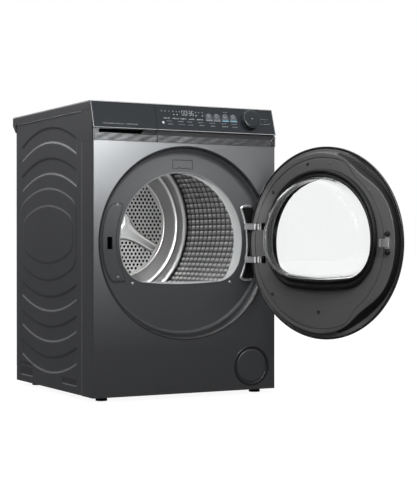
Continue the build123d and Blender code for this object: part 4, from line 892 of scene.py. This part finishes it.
def buildDoorShell():
    rim = [(276.0, -3.0), (275.4, -8.0), (272.0, -13.4), (262.0, -20.2), (245.0, -25.4), (225.0, -28.0),
           (199.0, -28.6),
           (198.0, -27.0), (199.0, -25.6), (224.0, -25.0), (243.0, -22.4), (259.5, -17.4), (268.5, -10.8),
           (270.0, -4.4), (271.4, -1.6), (274.6, -1.2)]
    piece("door_ring_turned", *turned(soften(rim, 2), z=doorZ, steps=240), "door", "doorGloss",
          "door_gloss", ["door_outer_ring"], door=True)
    disc = [(0, -30.0), (188.0, -29.9), (195.0, -29.4), (197.6, -28.2), (197.6, -26.0), (196.0, -25.0),
            (0, -25.0)]
    piece("door_glass_disc", *turned(soften(disc, 2, False), z=doorZ, steps=180), "door", "outerGlass",
          "smoked_glass", ["door_outer_glass"], door=True)
    border = [(188.5, -24.6), (205.0, -24.6), (205.0, -23.6), (188.5, -23.6)]
    piece("door_glass_border", *turned(border, z=doorZ, steps=180), "door", "darkPlastic",
          "dark_plastic", door=True)
    heads = [screwHead(x, doorZ + z, 0.0, 6.2) for x, z in door["screws"]]
    for points, _ in heads:
        points[:, 1] = door["face"] - 1.4 - points[:, 1]
    piece("door_screw_heads", *joined(*heads), "door", "blackMetal", "screw_steel", ["door_screws"],
          door=True)
    plugs = []
    for x, z, r in door["plugs"]:
        cap = [(0, 8.7), (r * 0.7, 8.7), (r, 8.2), (r, 7.0), (0, 7.0)]
        plugs.append(turned(cap, x, doorZ + z, 28, False))
    piece("door_plugs", *joined(*plugs), "door", "linerPlastic", "liner_plastic", door=True)
    buffers = []
    for z in (-25.0, 25.0):
        cap = soften([(0, 17.8), (4.6, 17.8), (7.0, 15.0), (7.2, 9.0), (8.4, 8.0), (0, 8.0)], 2, False)
        buffers.append(turned(cap, -232.0, doorZ + z, 40, False))
    piece("door_buffer_domes", *joined(*buffers), "door", "rubber", "seal_rubber", ["door_buffers"],
          door=True)


buildLiner()
buildGasket()
buildWindow()
buildDoorShell()
print("door built")

# Control panel: knob, button ring, printed marks, trims.


knob = {"x": 215.0, "height": 813.0}
button = {"x": 266.5, "height": 811.0, "half": 11.5, "radius": 7.6}


def buildKnob():
    x, s = knob["x"], (knob["height"] - panelFoot[1]) / cos(slope)
    skirt = soften([(0, 1.0), (28.6, 1.0), (29.0, 2.0), (28.8, 11.0), (28.6, 14.6), (28.2, 15.5),
                    (27.5, 15.5),
                    (27.3, 14.4), (0, 14.4)], 1, False)
    face = soften([(0, 14.2), (27.2, 14.2), (27.2, 15.0), (26.4, 15.5), (0, 15.5)], 1, False)
    grip = turnedOnPanel(skirt, x, s, 144)
    piece("knob_skirt", *grip, "program_knob", "satinChrome", "knob_metal", ["knob"])
    piece("knob_face", *turnedOnPanel(face, x, s, 96), "program_knob", "panelGloss", "panel_gloss")
    dot = turnedOnPanel([(0, 15.4), (1.4, 15.4), (1.4, 15.7), (0, 15.7)], x, s, 16)
    piece("knob_dot", *dot, "program_knob", "markDim", "panel_gloss")


def buildPill():
    # A thin ring round the button: two straight runs and two half circles.
    x0, s0 = button["x"], (button["height"] - panelFoot[1]) / cos(slope)
    half, r = button["half"], button["radius"]
    a = np.linspace(-pi / 2, pi / 2, 20)
    right = np.column_stack((x0 + half + r * np.cos(a), s0 + r * np.sin(a)))
    left = np.column_stack((x0 - half - r * np.cos(a), s0 - r * np.sin(a)))
    path = np.vstack((right, left))
    path = onPanel(np.column_stack((path, np.full(len(path), 0.1))))
    piece("button_ring", *bead(path, roundSection(0.5), panelOut, True), "cabinet", "markDim", "panel_gloss")


def mark(x, s, wide, high, n=0.12):
    # A thin printed block on the panel.
    points = [(x + a * wide / 2, s + b * high / 2, n * c) for a in (-1, 1) for b in (-1, 1) for c in (0, 1)]
    return onPanel(points), brick((0, 1), (0, 1), (0, 1))[1]


def digit(x, s, lit):
    # Seven strokes of a clock digit: a to g, as in a segment display.
    w, h, t = 6.0, 14.0, 0.8
    strokes = {"a": (0, h / 2, w, t), "g": (0, 0, w, t), "d": (0, -h / 2, w, t),
               "b": (w / 2, h / 4, t, h / 2),
               "c": (w / 2, -h / 4, t, h / 2), "f": (-w / 2, h / 4, t, h / 2),
               "e": (-w / 2, -h / 4, t, h / 2)}
    return [mark(x + strokes[k][0], s + strokes[k][1], strokes[k][2] * 0.9, strokes[k][3] * 0.9) for k in lit]


def words(x, s, wide, high, seed):
    # A stand-in for a printed word: short upright ticks of uneven width that fill its length.
    made, at, k = [], x - wide / 2, seed
    while at < x + wide / 2:
        k = (k * 5 + 3) % 17
        size = high * (0.5 + 0.03 * k)
        drop, tall = (0.1 * high, 0.6) if k % 3 else (0, 0.9)
        made.append(mark(at + size / 2, s - drop, size * 0.45, high * tall))
        at += size * 1.2
    return made


# The tiles are light at the foot and dark at the head.
tileFoot, tileHead = onPanel([(0, 35.0, 0), (0, 57.0, 0)])[:, 2] * mm
finishes["tileFade"] = shade(material("tileFade", (0.14, 0.15, 0.16), mottle=0.0, bump=0.0), ("Object", "Z"),
                             tileFoot, tileHead, (0.02, 0.03, 0.036))


def buildMarks():
    bright, dim, blue, tiles = [], [], [], []
    for x, lit in ((-8.5, "abcdef"), (1.5, "abcdef"), (13.5, "abgcd"), (23.5, "afgecd")):
        bright += digit(x, 56.5, lit)
    bright += [mark(7.5, 53.5, 1.2, 1.2), mark(7.5, 59.5, 1.2, 1.2)]
    for x in (-77.0, -65.5, -53.0, -40.0, -29.0, -19.0, 34.5, 45.0, 56.0):
        dim += [mark(x, 61.0, 3.4, 0.8), mark(x, 59.2, 0.9, 3.0)]
    for x in (-38.0, -27.5, 35.0, 56.0):
        bright += [mark(x, 50.5, 3.2, 2.2)]
    for k, x in enumerate((-64.0, -36.0, -9.0, 18.0, 45.0)):
        bright += words(x, 38.4, 19.0, 4.2, k + 2)
    for k, x in enumerate((-55.0, -19.0, 10.0, 47.0, 84.0, 124.0, 158.0)):
        dim += words(x, 29.5 - 0.3 * (k > 3), 17.0, 2.7, k + 4)
        dim += words(x + 2, 20.0 - 0.3 * (k > 3), 17.0, 2.7, k + 7)
    for k, x in enumerate((77.0, 103.5, 131.5, 159.0)):
        tiles.append(mark(x, 46.5, 22.5, 22.5, 0.06))
        dim.append(mark(x, 36.4, 22.5, 1.1))
        ring = fullTurn(24)
        path = onPanel(np.column_stack((x + 5.0 * np.cos(ring), 53.0 + 5.0 * np.sin(ring), np.full(24, 0.1))))
        bright.append(bead(path, roundSection(0.45), panelOut, True))
        bright.append(mark(x, 53.0 + (k % 2), 4.6 - k % 3, 1.0))
        if k > 1:
            blue.append(mark(x, 37.2, 22.5, 2.0, 0.2))
    bright.append(turnedOnPanel([(0, 0.0), (3.8, 0.0), (3.8, 0.16), (0, 0.16)], -76.0, 24.0, 24))
    bright.append(mark(266.5, 41.0, 2.6, 0.7, 1.95))
    dim += words(-235.0, 14.0, 68.0, 3.4, 3) + words(-178.0, 14.0, 34.0, 3.0, 5)
    dim += words(133.0, 66.0, 14.0, 2.2, 6)
    piece("panel_marks_bright", *joined(*bright), "cabinet", "markWhite", "panel_gloss")
    piece("panel_marks_dim", *joined(*dim), "cabinet", "markDim", "panel_gloss")
    piece("panel_tiles", *joined(*tiles), "cabinet", "tileFade", "panel_gloss")
    piece("panel_marks_blue", *joined(*blue), "cabinet", "markBlue", "panel_gloss")


def buildTrims():
    # Rippled strip: the face moves in and out along x with two waves of different length.
    x = np.linspace(-292.0, 283.0, 460)[:, None]
    z = np.linspace(738.4, 756.6, 9)[None, :]
    wave = 0.55 * np.sin(x / 6.1) * np.sin(z / 3.4 + x / 31.0) + 0.35 * np.sin(x / 14.3 + 1.0)
    top = np.stack((x + 0 * z, -0.95 - wave * 0.5 + 0 * z, z + 0 * x), -1)
    base = np.stack((x + 0 * z, 1.6 + 0 * x + 0 * z, z + 0 * x), -1)
    for name, body, part in (("tank_trim_ripple", "tank", x[:, 0] < -99),
                             ("trim_ripple", "cabinet", x[:, 0] > -97)):
        piece(name, *capped(top[part], base[part]), body, "satinChrome", "trim_silver", sharp=60)
    flat = [(-0.8, -0.9), (0.8, -0.9), (0.8, 0.9), (-0.8, 0.9)]
    broad = [(-0.8, -1.5), (0.8, -1.5), (0.8, 1.5), (-0.8, 1.5)]
    for name, body, x0, x1 in (("tank_chrome_line", "tank", -297.0, -99.0),
                               ("chrome_line", "cabinet", -96.5, 297.0)):
        under = onPanel([(x0, 0.9, 0.1), (x1, 0.9, 0.1)])
        # The light bar along the top of the control panel is a painted highlight of the worktop's front edge.
        above = onPanel([(x0, 79.8, -0.1), (x1, 79.8, -0.1)])
        piece(name + "_top_edge_highlight", *bead(above, broad, panelOut), body, "edgeGrey", "trim_silver")
        low = [(x0, -0.9, 737.4), (x1, -0.9, 737.4)]
        piece(name, *bead(under, flat, panelOut), body, "chrome", "trim_silver")
        piece(name + "_low", *bead(low, flat), body, "satinChrome", "trim_silver")
    # The grip recess ends in a slanted cheek.
    corners = ((-150.0, 757.4), (-137.2, 757.4), (-137.2, 770.8))
    cheek = [(x, d, z) for d in (-0.4, 14.0) for x, z in corners]
    piece("tank_grip_cheek", cheek, [[0, 1, 2], [5, 4, 3], [0, 3, 4, 1], [1, 4, 5, 2], [2, 5, 3, 0]], "tank",
          "basePlastic", "trim_silver")
    corner = [(284.0, 0.6, 754.5), (295.5, 0.6, 741.0), (295.5, 0.6, 768.5)]
    bar = [(-0.9, -1.0), (0.9, -1.0), (0.9, 1.0), (-0.9, 1.0)]
    piece("trim_end_triangle", *bead(corner, bar, closed=True), "cabinet", "lightPlastic", "trim_silver")
    for name, body, x0 in (("panel_end_left", "tank", -296.6), ("panel_end_right", "cabinet", 296.6)):
        path = onPanel([(x0, 1.0, 0.1), (x0, 80.0, 0.1)])
        down = [(x0, -0.6, 738.0), (x0, -0.6, 768.0)]
        piece(name, *bead(path, flat, panelOut), body, "chrome", "trim_silver")
        piece(name + "_low", *bead(down, flat), body, "satinChrome", "trim_silver")


buildKnob()
buildPill()
buildMarks()
buildTrims()
print("control panel built")

# Service flap, feet, rear details.


flap = {"x": 216.0, "z": 83.0}


def buildFlap():
    x, z = flap["x"], flap["z"]
    disc = soften([(0, -0.9), (44.0, -0.9), (47.0, -0.7), (49.6, 0.4), (49.8, 2.0), (0, 2.0)], 1, False)
    piece("service_flap_disc", *turned(disc, x, z, 120, False), "flap", "graphiteFlap", "silver_plastic",
          ["service_flap"])
    ring = soften([(50.6, 0.6), (51.6, -0.8), (56.0, -1.2), (59.4, -0.8), (60.2, 0.2), (60.2, 0.5),
                   (50.6, 0.9)], 1)
    piece("service_flap_ring", *turned(ring, x, z, 120), "cabinet", "recessEdge", "silver_plastic")
    groove = [(50.6, -0.12), (53.4, -0.12), (53.4, 0.3), (50.6, 0.3)]
    piece("flap_groove", *turned(groove, x, z, 120), "cabinet", "recessEdge", "dark_plastic")


def buildFeet():
    # A pad with a rounded edge and a stud whose radius ripples like a thread.
    for name, side, d in (("front_left", -1, 45.0), ("front_right", 1, 45.0), ("rear_left", -1, 540.0),
                          ("rear_right", 1, 540.0)):
        z = np.linspace(9.2, 51.0, 120)
        stud = np.column_stack((4.6 + 0.35 * np.cos(2 * pi * z / 1.75), z))
        profile = np.vstack(([(0, 0.0), (15.6, 0.0), (17.2, 1.0), (17.4, 2.4), (16.4, 3.4), (16.4, 6.4),
                              (15.0, 8.6),
                              (12.0, 9.0), (9.0, 9.0)], stud, [(0, 51.4)]))
        angle = fullTurn(36)[:, None]
        points = np.stack((side * 252.0 + profile[:, 0] * np.cos(angle), d + profile[:, 0] * np.sin(angle),
                           profile[:, 1] + 0 * angle), -1)
        piece("foot_" + name + "_pad", points.reshape(-1, 3), gridFaces(36, len(profile), True, False),
              name + "_foot", "rubber", "foot_rubber", ["foot_" + name])


def buildRear():
    cover = soften([(0, 629.0), (150.0, 629.0), (176.0, 625.6), (196.0, 623.0), (225.0, 618.6),
                    (240.0, 614.6),
                    (246.0, 613.4), (246.0, 613.1), (0, 613.1)], 2, False)
    piece("rear_duct_cover_pressed", *turned(cover, 0, drumZ, 180, False), "cabinet", "zinc",
          "galvanised_steel", ["rear_duct_cover"])
    heads = []
    for z in (80.0, 240.0, 420.0, 600.0, 780.0):
        for x in (-286.0, 286.0):
            heads.append(screwHead(x, z, 0.0, 4.6))
    for k in range(10):
        a = 2 * pi * k / 10
        heads.append(screwHead(238.0 * cos(a), drumZ + 238.0 * sin(a), -2.0, 4.2))
    for points, _ in heads:
        points[:, 1] = 613.0 - points[:, 1]
    piece("rear_screw_heads", *joined(*heads), "cabinet", "screwSteel", "screw_steel")
    ribs = []
    for x in (-262.0, 262.0):
        path = [(x, 613.1, 130.0), (x, 613.1, 720.0)]
        ribs.append(bead(path, roundSection(5.0, 0.32, 16), (0, 1, 0)))
    piece("rear_ribs", *joined(*ribs), "cabinet", "zinc", "galvanised_steel")


buildFlap()
buildFeet()
buildRear()
print("flap, feet and rear built")

# Stage: floor, lights and camera.

view = {"place": (-1.8130, -3.7565, 0.4435), "turn": (89.77, 0.0, -28.53), "lens": 97.0}
lamps = (
    # name, place, target, width, height, power
    ("keyLeft", (-1.2, -1.6, 2.4), (-0.2, -0.2, 0.5), 1.2, 1.0, 16),
    ("frontRight", (0.12, -1.9, 1.25), (-0.25, -0.3, 0.65), 0.8, 0.8, 16),
    ("edgeBack", (-0.6, 2.8, 2.1), (-0.3, 0.2, 0.5), 1.4, 1.0, 50),
    ("topSoft", (0.0, 0.2, 2.6), (0.0, 0.0, 0.0), 2.4, 2.4, 30),
    ("leftWall", (-2.2, 1.4, 1.9), (-0.3, 0.0, 0.5), 1.2, 0.8, 14),
    ("rearRim", (1.6, 2.6, 2.0), (0.0, 0.3, 0.5), 1.6, 1.6, 16),
    ("drumGlow", (-0.08, -0.19, 0.62), (0.10, 0.15, 0.40), 0.16, 0.06, 2.0),
)


def addLamp(name, place, target, wide, high, power):
    data = bpy.data.lights.new(name, "AREA")
    data.shape, data.size, data.size_y, data.energy = "RECTANGLE", wide, high, power
    made = bpy.data.objects.new(name, data)
    bpy.context.scene.collection.objects.link(made)
    made.location = place
    aim = Vector(target) - Vector(place)
    made.rotation_euler = aim.to_track_quat("-Z", "Y").to_euler()
    made.visible_camera = False


def buildStage():
    floorMesh = bpy.data.meshes.new("floor")
    corners = [(x, y, -0.0005) for x, y in ((-30, -30), (30, -30), (30, 30), (-30, 30))]
    floorMesh.from_pydata(corners, [], [(0, 1, 2, 3)])
    paint = material("floorPaint", (0.08, 0.08, 0.08), 0.9, 0, 0.01, 20, 0.0, spec=0.0, glow=(1, 1, 1, 1.0))
    nodes, links = paint.node_tree.nodes, paint.node_tree.links
    place, far, fade = (nodes.new("ShaderNode" + kind) for kind in ("TexCoord", "VectorMath", "MapRange"))
    far.operation = "LENGTH"                    # painted shade: the floor's glow is a little lower near the dryer and brightens away from it
    links.new(place.outputs["Object"], far.inputs[0])
    links.new(far.outputs["Value"], fade.inputs["Value"])
    for end, value in (("From Min", 0.3), ("From Max", 1.3), ("To Min", 0.93), ("To Max", 0.99)):
        fade.inputs[end].default_value = value
    links.new(fade.outputs["Result"], nodes["Principled BSDF"].inputs["Emission Strength"])
    floorMesh.materials.append(paint)
    floor = bpy.data.objects.new("floor", floorMesh)
    bpy.context.scene.collection.objects.link(floor)
    floor.visible_glossy = False
    floor.visible_diffuse = False
    world = bpy.data.worlds.new("studio")
    bpy.context.scene.world = world
    world.use_nodes = True
    nodes, links = world.node_tree.nodes, world.node_tree.links
    nodes.clear()
    out = nodes.new("ShaderNodeOutputWorld")
    mixed = nodes.new("ShaderNodeMixShader")
    seen, light = nodes.new("ShaderNodeBackground"), nodes.new("ShaderNodeBackground")
    seen.inputs["Color"].default_value = (1, 1, 1, 1)
    seen.inputs["Strength"].default_value = 1.0
    path = nodes.new("ShaderNodeLightPath")
    place = nodes.new("ShaderNodeTexCoord")
    split = nodes.new("ShaderNodeSeparateXYZ")
    ramp = nodes.new("ShaderNodeValToRGB")
    ramp.color_ramp.elements[0].position, ramp.color_ramp.elements[1].position = 0.48, 0.95
    ramp.color_ramp.elements[0].color = (0.15, 0.15, 0.155, 1)
    ramp.color_ramp.elements[1].color = (1, 1, 1, 1)
    shift = nodes.new("ShaderNodeMapRange")
    shift.inputs["From Min"].default_value = -1.0
    links.new(place.outputs["Generated"], split.inputs[0])
    links.new(split.outputs["Z"], shift.inputs["Value"])
    links.new(shift.outputs["Result"], ramp.inputs["Fac"])
    links.new(ramp.outputs["Color"], light.inputs["Color"])
    light.inputs["Strength"].default_value = 0.75
    either = nodes.new("ShaderNodeMath")
    either.operation = "MAXIMUM"
    links.new(path.outputs["Is Camera Ray"], either.inputs[0])
    links.new(path.outputs["Is Transmission Ray"], either.inputs[1])
    links.new(either.outputs[0], mixed.inputs["Fac"])
    links.new(light.outputs[0], mixed.inputs[1])
    links.new(seen.outputs[0], mixed.inputs[2])
    links.new(mixed.outputs[0], out.inputs["Surface"])
    for lamp in lamps:
        addLamp(*lamp)
    data = bpy.data.cameras.new("camera")
    data.lens, data.sensor_width = view["lens"], 36.0
    camera = bpy.data.objects.new("camera", data)
    bpy.context.scene.collection.objects.link(camera)
    camera.location = view["place"]
    camera.rotation_euler = [radians(a) for a in view["turn"]]
    bpy.context.scene.camera = camera
    bpy.context.scene.view_settings.view_transform = "Standard"


buildStage()
print("stage ready")
